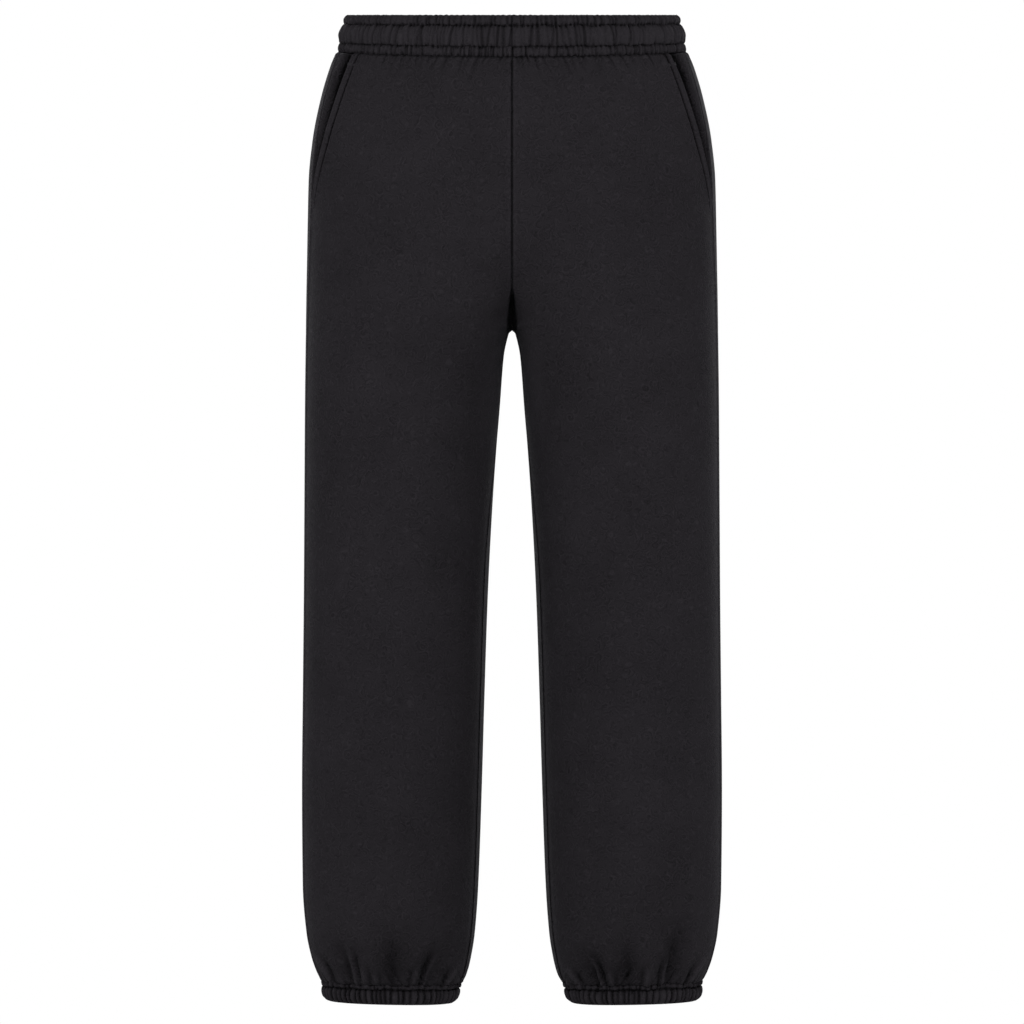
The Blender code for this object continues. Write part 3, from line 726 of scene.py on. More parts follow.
def panel(name, leg, points, arc, start, end, turn, seed, shape):
    """Make a leg panel. Its base is read from the lines between the start and end arcs. The folds push it in
    first, square to the base, and the pit pushes it back; then comes the fine relief square to that: the
    seams' rolls, the puckers, the creases and the panel's own shape(distance from its start, drop, x, y).
    Beside the crotch seam the relief doesn't move the cloth sideways. The inside lies one cloth under the
    folds, more under a hem. Returns the piece, and its outside, its folded cloth and the normals of that, all
    on the left side."""
    places = seam_columns(start, end, PANEL_COLUMNS)
    drop = np.repeat(drops[:, None], PANEL_COLUMNS, 1)
    base = read_lines(points, arc, places)
    x, y = base[..., 0], base[..., 1]
    from_waist = drop - WAIST_SEAM
    to_cuff = CUFF_SEAM - drop
    to_end = end[:, None] - places
    above = 1 - on_leg[:, None]

    broad, dug, fine, lining, painted_groove_shade = shape(places - start[:, None], drop, x, y)
    forward = (y / np.where(y < 0, section_size("front", drop), section_size("back", drop))) ** 2
    broad = broad + forward * bell(to_cuff, *CUFF_PUFF) - bell(from_waist, *WAIST_TUCK)
    pushed = fold_depth(FOLDS, leg, drop, x, y) - broad
    folded = base - level_near_seams(normals_of(base, turn), drop) * pushed[..., None]
    folded[..., 1] += dug
    normals = level_near_seams(normals_of(folded, turn), drop)

    relief = fine + seam_roll(to_end) + seam_roll(from_waist) + CUFF_ROLL * seam_roll(to_cuff)
    relief = relief - pucker_depth(places, from_waist, seed, **WAIST_PUCKER)
    relief = relief - pucker_depth(places, from_waist, seed + 2, **SEAM_NOTCH)
    relief = relief - pucker_depth(places, to_cuff, seed + 1, **CUFF_PUCKER)
    relief = relief - fold_depth(CREASES, leg, drop, x, y)
    sideways = 1 - above * dome(to_end, 0, SEAM_HOLD)
    outside = folded + normals * np.dstack((relief * sideways, relief, relief))
    outside[..., 2] += seam_wander(x, y, leg, from_waist) + cuff_wander(x, y, leg, to_cuff)
    slit, slit_reach, slit_fade = CROTCH_SLIT
    slit = slit * above * (1 - ease(drop, PIT_DROPS[0] - slit_fade, PIT_DROPS[0]))
    outside[..., 0] += slit * dome(to_end, 0, slit_reach)
    under = CLOTH + lining + np.maximum(0, -relief - CLOTH / 2)
    inside = folded - normals * np.dstack((under * sideways, under, under))
    # Wear, painted shade and painted light of the panel, less the painted shade in the hem's groove.
    wear = panel_wear_and_shade(relief, pushed, dug, drop, x, to_end, turn) - painted_groove_shade
    piece = cloth_wall(name, mirrored(outside, leg), mirrored(inside, leg), wear)
    return piece, outside, folded, normals


# The allowances inside the seams: how far under the cloth, how thick, and how far they reach over the seam.
ALLOWANCE_UNDER = 0.0031
ALLOWANCE_THICK = 0.0016
ALLOWANCE_OVER = 0.0035


def strip_wall(name, upper, lower):
    """Close an allowance's two sides into a wall that keeps every point and has neither wear nor painted
    shade.
    """
    return cloth_wall(name, upper, lower, np.zeros(upper.shape[:2]), (1, 1))


def crotch_allowance(name, seam, turn):
    """Make the crotch seam's allowance: a flat strip across it, inside by the line's own direction turned a
    quarter in the plane between the legs."""
    seam = seam * (0, 1, 1)
    along = unit(np.gradient(seam, axis=0))
    inward = turn * np.stack((0 * along[:, 0], -along[:, 2], along[:, 1]), 1)[:, None]
    across = np.linspace(-ALLOWANCE_OVER, ALLOWANCE_OVER, 3)[:, None] * (1, 0, 0)
    upper = seam[:, None] + across + inward * ALLOWANCE_UNDER
    return strip_wall(name, upper, upper + inward * ALLOWANCE_THICK)


# The pocket's hem: how proud it lies, and how thick its second layer is and how many hems wide; its stitched
# groove, the painted shade in that groove, and the ridge past it; its sunk outer edge and the roll beside
# that; where it ends and starts; and how its edge gapes.
HEM_LIFT = (0.0004, 0.0010, 0.0012)
HEM_LAYER = (0.0018, 1.5)
HEM_STITCH = (0.0026, POCKET_HEM, 0.0012)
HEM_PAINTED_SHADE = (2.0, POCKET_HEM, 0.0011)
HEM_RIDGE = (0.0009, POCKET_HEM + 0.0017, 0.0009)
HEM_SUNK = (0.0016, 0.0, 0.0008)
HEM_ROLL = (0.0009, 0.0014, 0.0008)
HEM_FADE = (0.006, 0.010)
HEM_START = 0.004
POCKET_GAPE = (0.0020, 0.0, 0.016)


def front_shape(distance, drop, x, y):
    """The front's own shape. Broad: the cloth gapes off the facing along the pocket. Dug: the pit between the
    thighs, back by its depth or a share of how far forward the cloth is, where x is inside its half width.
    Fine: the pocket's hem stands proud between its rounded edge and the groove of its topstitch; below it is
    a plain seam. Lining: the turned-under layer of the hem. Painted shade: the groove, darkened in colour as
    shade."""
    run = np.clip((drop - POCKET_TOP) / (POCKET_END - POCKET_TOP), 0, 1)
    broad = np.sin(np.pi * run) * bell(distance, *POCKET_GAPE)
    half_width = smooth_curve(PIT_DROPS, PIT_HALF_WIDTHS, drop)
    pit = np.minimum(PIT_DEPTH, -PIT_SHARE * y) * ease(half_width - x, -PIT_WALL, PIT_WALL)
    dug = pit * ease(drop, PIT_DROPS[0], PIT_DROPS[1])

    before, after = HEM_FADE
    hemmed = 1 - ease(drop, POCKET_END - before, POCKET_END + after)
    opened = hemmed * ease(drop, POCKET_TOP - HEM_START, POCKET_TOP + HEM_START)
    layer, widths = HEM_LAYER
    lining = layer * opened * (distance < widths * POCKET_HEM)
    lift, before, after = HEM_LIFT
    stitched = lift * (1 - ease(distance, POCKET_HEM - before, POCKET_HEM + after))
    stitched = stitched + bell(distance, *HEM_RIDGE) + bell(distance, *HEM_ROLL)
    stitched = stitched - bell(distance, *HEM_SUNK) - bell(distance, *HEM_STITCH)
    fine = hemmed * stitched + (1 - hemmed) * seam_roll(distance)
    return broad, dug, fine, lining, hemmed * bell(distance, *HEM_PAINTED_SHADE)


SIDES = (("left", 1), ("right", -1))

drops = row_drops()
on_leg = section_size("fork_front", drops) > LEG_FORK
pocket_edge = pocket_distance(drops)
front_lines = carry_lines(drops, inseam_angle(drops))
front_end = front_lines[1][:, -1] - SEAM_GAP / 2 * on_leg
fronts = {}
for side, leg in SIDES:
    node = "front_" + side
    name = "fleece_" + node
    ends = (pocket_edge + SEAM_GAP / 2, front_end)
    front, *fronts[side] = panel(name, leg, *front_lines, *ends, 1, 20 + leg, front_shape)
    fleece = fleece_material(name)
    dress(front, fleece, node)
    turned_in = []
    if leg == 1:
        turned_in.append(crotch_allowance("allowance_crotch_front", fronts[side][1][~on_leg][:, -1], 1))
        dress(turned_in[0], fleece, node, stands=False)


# ---- Backs -------------------------------------------------------------------------------------------------
# Two backs of the same fleece, wider than the fronts and cut higher behind for the seat. Each meets its front
# at the side seam and the inseam, and the other back at the crotch seam, with the allowances serged and
# turned in.
SIDE_ALLOWANCE_UNDER = 0.0046
SIDE_ALLOWANCE_COLUMNS = [0, 3, 6, 9, 12]
INSEAM_ALLOWANCE_COLUMNS = [-1 - column for column in SIDE_ALLOWANCE_COLUMNS]


def back_end_angle(drops):
    """Where the back ends inwards: 180 plus its fork's angle, or on a leg the front's end, a full turn on."""
    return np.where(on_leg, 360 + inseam_angle(drops), 180 + section_size("fork_back", drops))


def back_shape(distance, drop, x, y):
    """A plain side seam, with no broad shape, pit, lining or painted shade."""
    nothing = 0 * drop
    return nothing, nothing, seam_roll(distance), nothing, nothing


def allowance(name, leg, points, normals, columns, under=ALLOWANCE_UNDER):
    """Make the allowance inside a seam: a strip that follows some columns of a panel from the seam inwards,
    and reaches straight on past it, at a depth under the cloth."""
    points, normals = points[:, columns], normals[:, columns]
    past = points[:, :1] + unit(points[:, :1] - points[:, 1:2]) * ALLOWANCE_OVER
    points = np.concatenate((past, points), 1)
    normals = np.concatenate((normals[:, :1], normals), 1)
    sides = (mirrored(points - normals * depth, leg) for depth in (under, under + ALLOWANCE_THICK))
    return strip_wall(name, *sides)


back_lines = carry_lines(drops, back_end_angle(drops))
back_end = back_lines[1][:, -1] - SEAM_GAP / 2 * on_leg
for side, leg in SIDES:
    node = "back_" + side
    name = "fleece_" + node
    ends = (0 * drops + SEAM_GAP / 2, back_end)
    back, outside, folded, normals = panel(name, leg, *back_lines, *ends, -1, 30 + leg, back_shape)
    fleece = fleece_material(name)
    dress(back, fleece, node)
    side_seam = (folded, normals, SIDE_ALLOWANCE_COLUMNS, SIDE_ALLOWANCE_UNDER)
    inseam = (folded[on_leg], normals[on_leg], INSEAM_ALLOWANCE_COLUMNS)
    turned_in = [
        allowance("allowance_side_" + side, leg, *side_seam),
        allowance("allowance_inseam_" + side, leg, *inseam),
    ]
    if leg == 1:
        turned_in.append(crotch_allowance("allowance_crotch_back", folded[~on_leg][:, -1], -1))
    for strip in turned_in:
        dress(strip, fleece, node, stands=False)


# ---- Pocket facings ----------------------------------------------------------------------------------------
# What shows behind each slant opening: a strip of the same fleece sewn into the waist seam and the side seam,
# lying flush there and sinking behind the front's hem.
FACING_COLUMNS = 40
FACING_UNDER = 0.0130
FACING_SINK = (0.0034, 0.0125)
FACING_OPENS = (0.010, 0.020)
FACING_CLOSES = 0.140
FACING_SLOPE = (0.022, 0.004)
# Painted light across the facing and painted shadow darkest just behind the hem's edge: paler, deeper, reach,
# power, and how much of the sink is hidden.
FACING_SHADOW_AND_LIGHT = (0.3, 3.4, 0.0115, 1.4, 2.0)

# An odd number of rows, because the inside takes every second one and needs the last.
behind_pocket = np.count_nonzero(drops < POCKET_END)
facing_rows = slice(behind_pocket - 1 + behind_pocket % 2)
facing_edge = pocket_edge[facing_rows, None]
facing_drop = drops[facing_rows, None]
facing_places = SEAM_GAP / 2 + (facing_edge + FACING_UNDER) * np.linspace(0, 1, FACING_COLUMNS)
facing_base = read_lines(front_lines[0][facing_rows], front_lines[1][facing_rows], facing_places)
facing_normals = normals_of(facing_base, 1)
before, after = FACING_OPENS
open_here = ease(facing_drop, POCKET_TOP - before, POCKET_TOP + after)
open_here = open_here * (1 - ease(facing_drop, FACING_CLOSES, POCKET_END))
closed_sink, open_sink = FACING_SINK
slope, past_edge = FACING_SLOPE
sink = closed_sink + (open_sink - closed_sink) * open_here
sunk = sink * (1 - ease(facing_edge - facing_places, 0, np.minimum(slope, facing_edge + past_edge)))
relief = seam_roll(facing_places) + seam_roll(facing_drop - WAIST_SEAM) - sunk
# Painted shadow on the facing behind the hem, over a paler painted light.
paler, deeper, reach, power, hidden = FACING_SHADOW_AND_LIGHT
facing_seen = np.maximum(facing_edge - facing_places - hidden * sunk, 0)
facing_painted_light_and_shadow = paler - deeper * np.exp(-((facing_seen / reach) ** power))
facing_outside = facing_base + facing_normals * relief[..., None]
facing_inside = facing_base - facing_normals * (np.maximum(sunk, -relief - CLOTH / 2) + CLOTH)[..., None]
for side, leg in SIDES:
    node = "pocket_facing_" + side
    name = "fleece_" + node
    facing = cloth_wall(name, mirrored(facing_outside, leg), mirrored(facing_inside, leg), facing_painted_light_and_shadow)
    dress(facing, fleece_material(name), node)


# ---- Waistband ---------------------------------------------------------------------------------------------
# One strip of fleece folded over wide elastic and closed at centre front. Two rows of stitching through the
# stretched elastic divide it into three channels, and as it springs back the fleece puckers unevenly.
BAND_HEIGHT = WAIST_SEAM - BAND_TOP
# Share of the band's height from its top, how far it stands out from the waist seam's section, and its
# thickness.
BAND = (
    (0.000, -0.0111, 0.0022),
    (0.040, -0.0094, 0.0048),
    (0.140, -0.0074, 0.0056),
    (0.230, -0.0074, 0.0050),
    (0.330, -0.0055, 0.0058),
    (0.560, -0.0029, 0.0064),
    (0.700, -0.0029, 0.0060),
    (0.760, -0.0029, 0.0052),
    (0.870, -0.0020, 0.0054),
    (1.000, -0.0016, 0.0044),
)
BAND_ROWS = (0.245, 0.765)
BAND_SHARES = ((0.03, 3), (0.212, 8), (0.278, 8), (0.732, 16), (0.798, 8), (0.960, 6), (1.0, 3))
BAND_STATIONS = 1469
BAND_RIM = 0.03
# A shift of the band's relief before it turns into wear and painted shade, which makes the band paler.
BAND_RELIEF_SHIFT = 0.0006
# Puckers of a channel: share at its top and bottom, pitch and how uneven it is, depth and its least share,
# width, lean, the swell of the channel itself, and the numbers that start its random draws.
CHANNEL_COLUMNS = (
    "top", "bottom", "pitch", "uneven", "depth", "least", "width", "lean", "swell", "seed", "depth_seed"
)
CHANNELS = (
    (0.000, BAND_ROWS[0], 0.0052, 0.55, 0.0020, 0.30, 0.00100, 0.12, 0.0004, 41, 61),
    (*BAND_ROWS, 0.0052, 0.60, 0.0021, 0.22, 0.00120, 0.16, 0.0008, 41, 62),
    (BAND_ROWS[1], 1.000, 0.0039, 0.55, 0.0020, 0.30, 0.00080, 0.08, 0.0004, 43, 63),
)
# Short puckers at a channel's edges: share of its depth, times its lean, and share of its height.
SHORT_PUCKER = (0.65, 2, 0.35)
SIDE_DEPTH = (0.7, 90, 18)
SIDE_LEVEL = (0.7, 90, 12)
CASING_FOLLOWS = 0.5
CASING_NAP = 0.7
LEAST_WALL = 0.0012
RIM_NOTCH = 0.15
ROW_DIP = (0.0006, 0.0, 0.011)
# Painted shade along each row of stitching, where its groove lies.
ROW_PAINTED_SHADE = (0.25, 0.0, 0.011)
ROW_STRAY = (0.02, 0.02)
ROW_NOTCH = {"pitch": 0.0036, "depth": 0.0023, "width": 0.0008, "reach": 0.0012, "lean": 0.0, "least": 0.5}
BAND_EDGE_WAVE = (0.0004, 0.0090)
WAIST_RING = (0.0120, 0.0200, 0.0280)
WAIST_RING_UNDER = 0.0090


def casing_profile(table, spans):
    """Shares down a casing, each span in even steps, and its growth and thickness there on smooth curves."""
    shares = [0.0]
    for end, steps in spans:
        shares.extend(np.linspace(shares[-1], end, steps + 1)[1:])
    shares = np.array(shares)
    places, *columns = zip(*table)
    return shares, *(smooth_curve(places, column, shares)[:, None] for column in columns)


def channel_relief(table, along, share, size):
    """Relief of a casing's channels: each swells as the root of 4t(1-t) down its own run t, less the deepest
    of three sets of puckers: those that run right through, and shallower ones that fade from either edge."""
    relief = np.zeros_like(along)
    depth_share, lean_times, reach_share = SHORT_PUCKER
    for row in table:
        channel = dict(zip(CHANNEL_COLUMNS, row))
        top, bottom, swell = (channel.pop(name) for name in ("top", "bottom", "swell"))
        run = (share - top) / (bottom - top)
        within = (run >= 0) & (run <= 1)
        run = np.clip(run, 0, 1)
        tall = size * (bottom - top)
        pucker = pucker_depth(along, (run - 0.5) * tall, reach=1.0, **channel)
        short = channel | {"reach": reach_share * tall, "least": 0}
        short |= {"depth": depth_share * channel["depth"], "lean": lean_times * channel["lean"]}
        for later, edge in ((7, run), (8, 1 - run)):
            short["seed"] = channel["seed"] + later
            pucker = np.maximum(pucker, pucker_depth(along, edge * tall, **short))
        relief = np.where(within, swell * np.sqrt(4 * run * (1 - run)) - pucker, relief)
    return relief


def band_row(number, along):
    """Share of the band's height at which a row of stitching runs: its own, with a slow wave."""
    return BAND_ROWS[number] + wave(along, 50 + number, *ROW_STRAY)


def casing_sides(base, normals, relief, rim, thick, stray):
    """Outside and inside of a casing. The outside stands out by the relief, which the rim levels at the free
    edge, and the inside lies under it by the thickness and a share of that, with at least LEAST_WALL between
    them. stray moves both up or down."""
    stands = relief * rim
    lining = np.maximum(thick + CASING_FOLLOWS * stands, LEAST_WALL - stands)
    rise = stray[..., None] * (0, 0, 1)
    return base + normals * stands[..., None] + rise, base - normals * lining[..., None] + rise


half_angles = np.linspace(0, 180, FINE)
half_x, half_y = outline(np.full(FINE, WAIST_SEAM), half_angles)
half_arc = np.concatenate(([0], np.cumsum(np.hypot(np.diff(half_x), np.diff(half_y)))))
around = 2 * half_arc[-1]
edge_stations = np.linspace(CROTCH_GAP / 2, NEAR_SEAM, NEAR_SEAM_COLUMNS)
stations = np.linspace(NEAR_SEAM, around - NEAR_SEAM, BAND_STATIONS)[1:-1]
stations = np.concatenate((edge_stations, stations, around - edge_stations[::-1]))
on_left = stations < around / 2
band_angle = np.interp(np.where(on_left, stations, around - stations), half_arc, half_angles)
band_share, grown, thick = casing_profile(BAND, BAND_SHARES)
share, along = np.meshgrid(band_share, stations, indexing="ij")
turn = np.where(on_left, 1, -1)
drop = BAND_TOP + (WAIST_SEAM - SEAM_GAP / 2 - BAND_TOP) * share
x, y = outline(np.full(share.shape, WAIST_SEAM), np.broadcast_to(band_angle, share.shape), grown)
band_base = np.dstack((x * turn, y, height(drop, x, y)))
band_normals = normals_of(band_base, -1)

relief = channel_relief(CHANNELS, along, share, BAND_HEIGHT) * (1 + bell(band_angle, *SIDE_DEPTH))
level = 1 - bell(band_angle, *SIDE_LEVEL)
row_shade = np.zeros_like(relief)
for number in range(len(BAND_ROWS)):
    row_away = share - band_row(number, along)
    notches = pucker_depth(along, row_away * BAND_HEIGHT, 53 + number, **ROW_NOTCH)
    relief = relief - level * (bell(row_away, *ROW_DIP) + notches)
    row_shade = row_shade + bell(row_away, *ROW_PAINTED_SHADE)
to_seam = BAND_HEIGHT * (1 - share)
relief = relief - level * pucker_depth(along, to_seam, 56, **SEAM_NOTCH)
relief = np.maximum(relief + seam_roll(np.minimum(along, around - along)), LEAST_WALL - thick)
rim = ease(share, 0.0, BAND_RIM)
stray = wave(along, 60, *BAND_EDGE_WAVE) * (1 - share) + (1 - rim) * np.minimum(relief, 0) * RIM_NOTCH
stray = stray + seam_wander(x, y, turn, to_seam)
band_outside, band_inside = casing_sides(band_base, band_normals, relief, rim, thick, stray)
# Wear and painted shade of the band's relief, less painted shade along the rows of stitching.
wear = wear_and_shade_of(relief + BAND_RELIEF_SHIFT) - row_shade
waistband = cloth_wall("fleece_waistband", band_outside, band_inside, wear, (2, 5))
band_fleece = fleece_material("fleece_waistband", nap=CASING_NAP, wash=CASING_NAP)
dress(waistband, band_fleece, "waistband")

ring_drop, ring_angle = np.meshgrid(WAIST_RING, np.linspace(0, 180, 91), indexing="ij")
ring_sides = []
for sunk in (WAIST_RING_UNDER, WAIST_RING_UNDER + ALLOWANCE_THICK):
    x, y = outline(np.full(ring_drop.shape, WAIST_SEAM), ring_angle, -sunk)
    half = np.dstack((x, y, height(ring_drop, x, y)))
    ring_sides.append(np.concatenate((half, mirrored(half[:, ::-1], -1)), 1))
waist_allowance = strip_wall("allowance_waist", *ring_sides)
dress(waist_allowance, band_fleece, "waistband", stands=False)


# ---- Cuffs -------------------------------------------------------------------------------------------------
# A strip of fleece folded over narrow elastic, closed at the inseam. One row of stitching runs just under its
# seam, and both the narrow strip above it and the band below it pucker into short ribs.
CUFF_BOTTOM = 0.9966
CUFF_HEIGHT = CUFF_BOTTOM - CUFF_SEAM
CUFF = (
    (0.000, -0.0004, 0.0042),
    (0.140, -0.0006, 0.0048),
    (0.270, -0.0013, 0.0042),
    (0.450, -0.0012, 0.0054),
    (0.750, -0.0024, 0.0052),
    (0.920, -0.0050, 0.0040),
    (1.000, -0.0078, 0.0016),
)
CUFF_ROW = 0.270
CUFF_SHARES = ((CUFF_ROW, 8), (1.0, 24))
CUFF_STATIONS = 721
CUFF_CHANNELS = (
    (0.000, CUFF_ROW, 0.0050, 0.50, 0.0020, 0.30, 0.00080, 0.05, 0.0004, 44, 64),
    (CUFF_ROW, 1.000, 0.0064, 0.30, 0.0034, 0.65, 0.00100, 0.05, 0.0010, 45, 65),
)
CUFF_ROW_DIP = (0.0012, CUFF_ROW, 0.040)
# Painted shade along the cuff's row of stitching and at its closing seam, and a shift of its relief before it
# turns into wear and painted shade, a little darker.
CUFF_ROW_PAINTED_SHADE = (0.8, CUFF_ROW, 0.040)
CUFF_SEAM_PAINTED_SHADE = (1.9, 0.0, 0.0016)
CUFF_RELIEF_SHIFT = 0.0001
CUFF_FOLD_END = 0.70
CUFF_RADIUS = 0.060
CUFF_TAPER = (0.0032, 0.50)
CUFF_RIM = 0.96
CUFF_RING = (0.0070, 0.0010, -0.0060)
CUFF_RING_UNDER = 0.0055

cuff_share, cuff_grown, cuff_thick = casing_profile(CUFF, CUFF_SHARES)
cuff_seam_angle = inseam_angle(np.array([CUFF_SEAM]))[0]
half_gap = np.degrees(SEAM_GAP / 2 / CUFF_RADIUS)
cuff_angle = np.linspace(cuff_seam_angle + half_gap, cuff_seam_angle + 360 - half_gap, CUFF_STATIONS)
share, angle = np.meshgrid(cuff_share, cuff_angle, indexing="ij")
ring = np.full(share.shape, CUFF_SEAM)
x, y = outline(ring, angle, cuff_grown)
narrower, taper_start = CUFF_TAPER
x = x + narrower * share * ease(inwards(ring, x), taper_start, 1.0)
cuff_base = np.dstack((x, y, height(ring, x, y) - SEAM_GAP / 2 - CUFF_HEIGHT * share))
normals = normals_of(cuff_base, -1)
steps = np.hypot(np.diff(x[0]), np.diff(y[0]))
along = np.broadcast_to(np.concatenate(([0], np.cumsum(steps))), share.shape)
closing = np.minimum(along, along.max() - along)
rim = 1 - ease(share, CUFF_RIM, 1.0)
cuffs = {}
for side, leg in SIDES:
    node = "cuff_" + side
    name = "fleece_" + node
    pushed = fold_depth(FOLDS, leg, ring, x, y) * (1 - ease(share, 0, CUFF_FOLD_END))
    base = cuff_base - normals * pushed[..., None]
    channels = [(*row[:-2], row[-2] + 10 * leg, row[-1]) for row in CUFF_CHANNELS]
    relief = channel_relief(channels, along, share, CUFF_HEIGHT) - bell(share, *CUFF_ROW_DIP)
    relief = relief - fold_depth(CREASES, leg, ring, x, y) * (1 - ease(share, 0, CUFF_ROW))
    relief = np.maximum(relief + seam_roll(closing), LEAST_WALL - cuff_thick)
    stray = cuff_wander(x, y, leg, CUFF_HEIGHT * share) - (1 - rim) * np.minimum(relief, 0) * RIM_NOTCH
    outside, inside = casing_sides(base, normals, relief, rim, cuff_thick, stray)
    # Wear and painted shade of the cuff's relief, less painted shade along its row of stitching and at its
    # closing seam.
    wear = wear_and_shade_of(relief - CUFF_RELIEF_SHIFT) - bell(share, *CUFF_ROW_PAINTED_SHADE) - bell(closing, *CUFF_SEAM_PAINTED_SHADE)
    cuff = cloth_wall(name, mirrored(outside, leg), mirrored(inside, leg), wear, (2, 4))
    fleece = fleece_material(name, nap=CASING_NAP, wash=CASING_NAP)
    dress(cuff, fleece, node)
    inner = (base - normals * (CUFF_RING_UNDER + np.maximum(0, -relief[:1]))[..., None])[0, ::4]
    inner = inner + np.array(CUFF_RING)[:, None, None] * (0, 0, 1)
    sides = [mirrored(inner - normals[:1, ::4] * sunk, leg) for sunk in (0, ALLOWANCE_THICK)]
    turned_in = strip_wall("allowance_" + node, *sides)
    dress(turned_in, fleece, node, stands=False)
    cuffs[side] = (outside, normals)


# ---- Stitching ---------------------------------------------------------------------------------------------
# Black polyester thread: two rows round the waistband and one round each cuff, sewn through the stretched
# elastic, a row along each pocket's hem, and a bar tack across each end of the pocket opening.
THREAD = 0.00050
STITCH = {"pitch": 0.0033, "length": 0.0027}
THREAD_LIFT = (0.00012, 0.3)
THREAD_PINCH = 0.6
THREAD_RINGS = 5
THREAD_SIDES = 6
TACK_HALF_WIDTH = 0.0016
TACK_STEP = 0.00045
TACK_LIFT = 0.0011
TACK_COLUMN = 4
TACK_DROPS = (POCKET_TOP - 0.0022, POCKET_END - 0.0030)
HEM_THREAD_DROPS = (WAIST_SEAM + 0.002, POCKET_END + 0.002)
THREAD_FINISH = {"Roughness": 0.6, "Specular IOR Level": 0.12}
THREAD_NOISE = 900.0


def stitches(start, end, out):
    """Stitches between arrays of start and end points: each is a tube whose middle rises off the cloth as the
    sine of its run and whose radius shrinks to both ends as the fourth power of the distance from its middle.
    Returns the points and the quads, which close each end with two."""
    run = np.linspace(0, 1, THREAD_RINGS)
    turn = np.linspace(0, 2 * np.pi, THREAD_SIDES, endpoint=False)
    along = unit(end - start)[:, None]
    across = unit(np.cross(along, out[:, None]))
    lift, bedded = THREAD_LIFT
    middle = start[:, None] + (end - start)[:, None] * run[:, None]
    middle = middle + out[:, None] * (lift * (np.sin(np.pi * run) - bedded))[:, None]
    radius = THREAD / 2 * (1 - THREAD_PINCH * (2 * run - 1) ** 4)
    rim = np.cos(turn)[:, None] * across[:, :, None] + np.sin(turn)[:, None] * out[:, None, None]
    points = middle[:, :, None] + radius[:, None, None] * rim
    ring = np.arange(THREAD_RINGS * THREAD_SIDES).reshape(THREAD_RINGS, THREAD_SIDES)
    quads = grid_quads(np.concatenate((ring, ring[:, :1]), 1))
    ends = np.array(((0, 1, 2, 3), (0, 3, 4, 5)))
    one = np.concatenate((quads[:, ::-1], ends[:, ::-1], ends + ring[-1, 0]))
    many = one + np.arange(len(start))[:, None, None] * ring.size
    return points.reshape(-1, 3), many.reshape(-1, 4)


def stitch_row(path, out):
    """Even stitches along a line of points, each read at its own arc length, with the cloth's normals
    there."""
    arc = np.concatenate(([0], np.cumsum(np.linalg.norm(np.diff(path, axis=0), axis=1))))
    begin = np.arange(STITCH["pitch"] / 2, arc[-1] - STITCH["length"], STITCH["pitch"])
    start, end, side = (
        np.stack([np.interp(at, arc, values[:, axis]) for axis in range(3)], 1)
        for at, values in ((begin, path), (begin + STITCH["length"], path), (begin, out))
    )
    return stitches(start, end, unit(side))


def bar_tack(first, last, out, lengthwise):
    """A bar tack from the first point to the last: close stitches that run lengthwise across that line."""
    share = np.arange(0, 1, TACK_STEP / np.linalg.norm(last - first))[:, None]
    middle = first + (last - first) * share + out * TACK_LIFT
    half = lengthwise * TACK_HALF_WIDTH
    return stitches(middle - half, middle + half, 0 * middle + out)


def sew(name, runs, node, material):
    """Join runs of stitches into one piece of thread."""
    counts = np.cumsum([0] + [len(points) for points, _ in runs])
    points = np.concatenate([points for points, _ in runs])
    quads = np.concatenate([faces + first for (_, faces), first in zip(runs, counts)])
    thread = mesh_piece(name, points, [quads], np.zeros(len(points)))
    dress(thread, material, node, stands=False)


def band_line(grid, row_shares):
    """Points of the band's grid along a wandering share of its height: read between the rows on either
    side."""
    place = np.interp(row_shares, band_share, np.arange(len(band_share)))
    row = np.clip(place.astype(int), 0, len(band_share) - 2)
    station = np.arange(len(place))
    part = (place - row)[:, None]
    return grid[row, station] * (1 - part) + grid[row + 1, station] * part


def thread_material(name, dark, pale):
    """Spun thread: a fast noise runs its colour from dark to pale along a slightly glossy surface."""
    material, surface, add = new_material(name, THREAD_FINISH)
    place = add("ShaderNodeTexCoord", output="Object")
    spun = add("ShaderNodeTexNoise", ("Vector", place), ("Scale", THREAD_NOISE), output="Fac")
    ends = ((6, (*dark, 1)), (7, (*pale, 1)))
    colour = add("ShaderNodeMix", ("Factor", spun), *ends, data_type="RGBA", output=2)
    material.node_tree.links.new(colour, surface["Base Color"])
    return material


sunk_thread = thread_material("black_thread", (0.004, 0.0035, 0.0045), (0.013, 0.012, 0.014))
tack_thread = thread_material("bar_tack_thread", (0.010, 0.009, 0.011), (0.032, 0.030, 0.034))

rows = [band_row(number, stations) for number in range(len(BAND_ROWS))]
runs = [stitch_row(band_line(band_outside, row), band_line(band_normals, row)) for row in rows]
sew("thread_waistband", runs, "waistband", sunk_thread)
hem_rows = (drops > HEM_THREAD_DROPS[0]) & (drops < HEM_THREAD_DROPS[1])
for side, leg in SIDES:
    outside, _, normals = (mirrored(grid, leg) for grid in fronts[side])
    hem = stitch_row(outside[hem_rows, HEM_COLUMN], normals[hem_rows, HEM_COLUMN])
    sew("thread_hem_" + side, [hem], "front_" + side, sunk_thread)
    runs = []
    for tack_drop in TACK_DROPS:
        row = int(np.argmin(np.abs(drops - tack_drop)))
        down = unit(outside[row + 1, TACK_COLUMN] - outside[row, TACK_COLUMN])
        runs.append(bar_tack(outside[row, 1], outside[row, HEM_COLUMN], normals[row, TACK_COLUMN], down))
    sew("bar_tacks_" + side, runs, "front_" + side, tack_thread)
    outside, normals = (mirrored(grid, leg) for grid in cuffs[side])
    row = CUFF_SHARES[0][1]
    sew("thread_cuff_" + side, [stitch_row(outside[row], normals[row])], "cuff_" + side, sunk_thread)


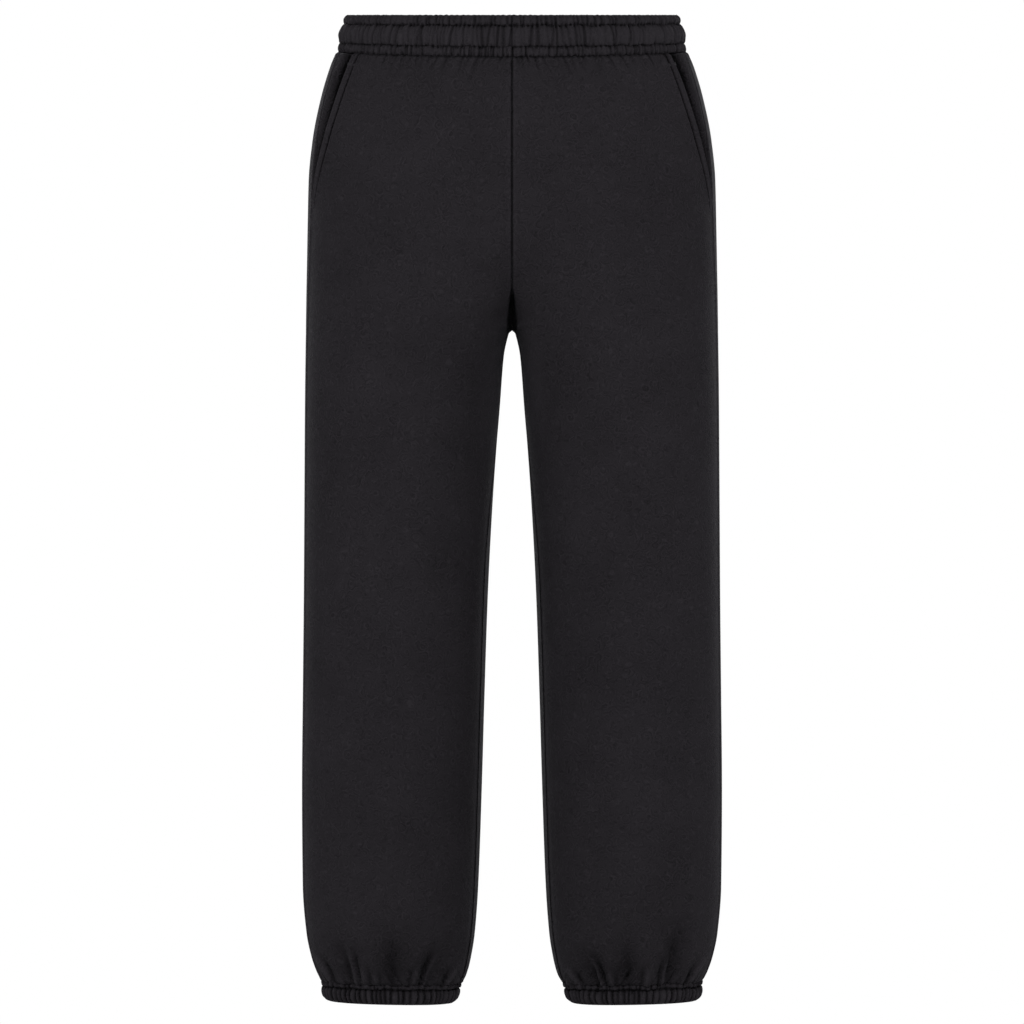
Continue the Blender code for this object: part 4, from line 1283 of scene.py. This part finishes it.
# ---- Studio ------------------------------------------------------------------------------------------------
# A plain white floor under the cuffs in a white room, a large soft light above the camera, a weak one on each
# side and two behind. The room and the floor are white to the eye but give off less light than they show.
FLOOR_BELOW = 0.075
FLOOR_HALF = 40.0
FLOOR_FINISH = {"Base Color": (0.80, 0.80, 0.80, 1), "Roughness": 0.9}
ROOM_LIGHT = 0.14
WHITE = (1, 1, 1, 1)
# Soft lights: place, the point they look at, size and power.
LIGHTS = {
    "front_light": ((0.0, -4.4, 1.9), (0, 0, -0.36), 1.8, 165),
    "left_light": ((-3.1, -1.0, 0.2), (0, 0, -0.40), 1.6, 26),
    "right_light": ((3.2, -0.2, 0.2), (0, 0, -0.40), 1.6, 26),
    "back_left_light": ((-2.0, 4.1, 1.1), (0, 0, -0.45), 1.8, 105),
    "back_right_light": ((2.0, 4.1, 1.1), (0, 0, -0.45), 1.8, 125),
}
CAMERA_LENS = 200.0
CAMERA_PLACE = (0, -5.859, -0.493)

scene = bpy.context.scene
scene.view_settings.view_transform = "Standard"
floor_z = cad_box[0][2] - FLOOR_BELOW
corners = [(FLOOR_HALF * x, FLOOR_HALF * y, floor_z) for x, y in ((-1, -1), (1, -1), (1, 1), (-1, 1))]
floor_mesh = bpy.data.meshes.new("studio_floor")
floor_mesh.from_pydata(corners, [], [(0, 1, 2, 3)])
floor = bpy.data.objects.new("studio_floor", floor_mesh)
scene.collection.objects.link(floor)
floor_material, _, add = new_material("studio_floor", FLOOR_FINISH)
floor_nodes = floor_material.node_tree.nodes
seen = add("ShaderNodeLightPath", output="Is Camera Ray")
white = add("ShaderNodeEmission", ("Color", WHITE), ("Strength", 1.0))
lit = floor_nodes["Principled BSDF"].outputs["BSDF"]
either = add("ShaderNodeMixShader", ("Fac", seen), (1, lit), (2, white))
floor_material.node_tree.links.new(either, floor_nodes["Material Output"].inputs["Surface"])
floor_mesh.materials.append(floor_material)

room = bpy.data.worlds.new("studio_room")
room.use_nodes = True
background = room.node_tree.nodes["Background"]
background.inputs["Color"].default_value = WHITE
add = node_maker(room.node_tree)
seen = add("ShaderNodeLightPath", output="Is Camera Ray")
strength = add("ShaderNodeMapRange", ("Value", seen), ("To Min", ROOM_LIGHT), ("To Max", 1.0))
room.node_tree.links.new(strength, background.inputs["Strength"])
scene.world = room

for name, (place, aim, size, power) in LIGHTS.items():
    lamp = bpy.data.lights.new(name, "AREA")
    lamp.shape = "SQUARE"
    lamp.size = size
    lamp.energy = power
    light = bpy.data.objects.new(name, lamp)
    light.location = place
    light.rotation_euler = (Vector(aim) - Vector(place)).to_track_quat("-Z", "Y").to_euler()
    scene.collection.objects.link(light)

lens = bpy.data.cameras.new("camera")
lens.lens = CAMERA_LENS
camera = bpy.data.objects.new("camera", lens)
camera.location = CAMERA_PLACE
camera.rotation_euler = (np.pi / 2, 0, 0)
scene.collection.objects.link(camera)
scene.camera = camera
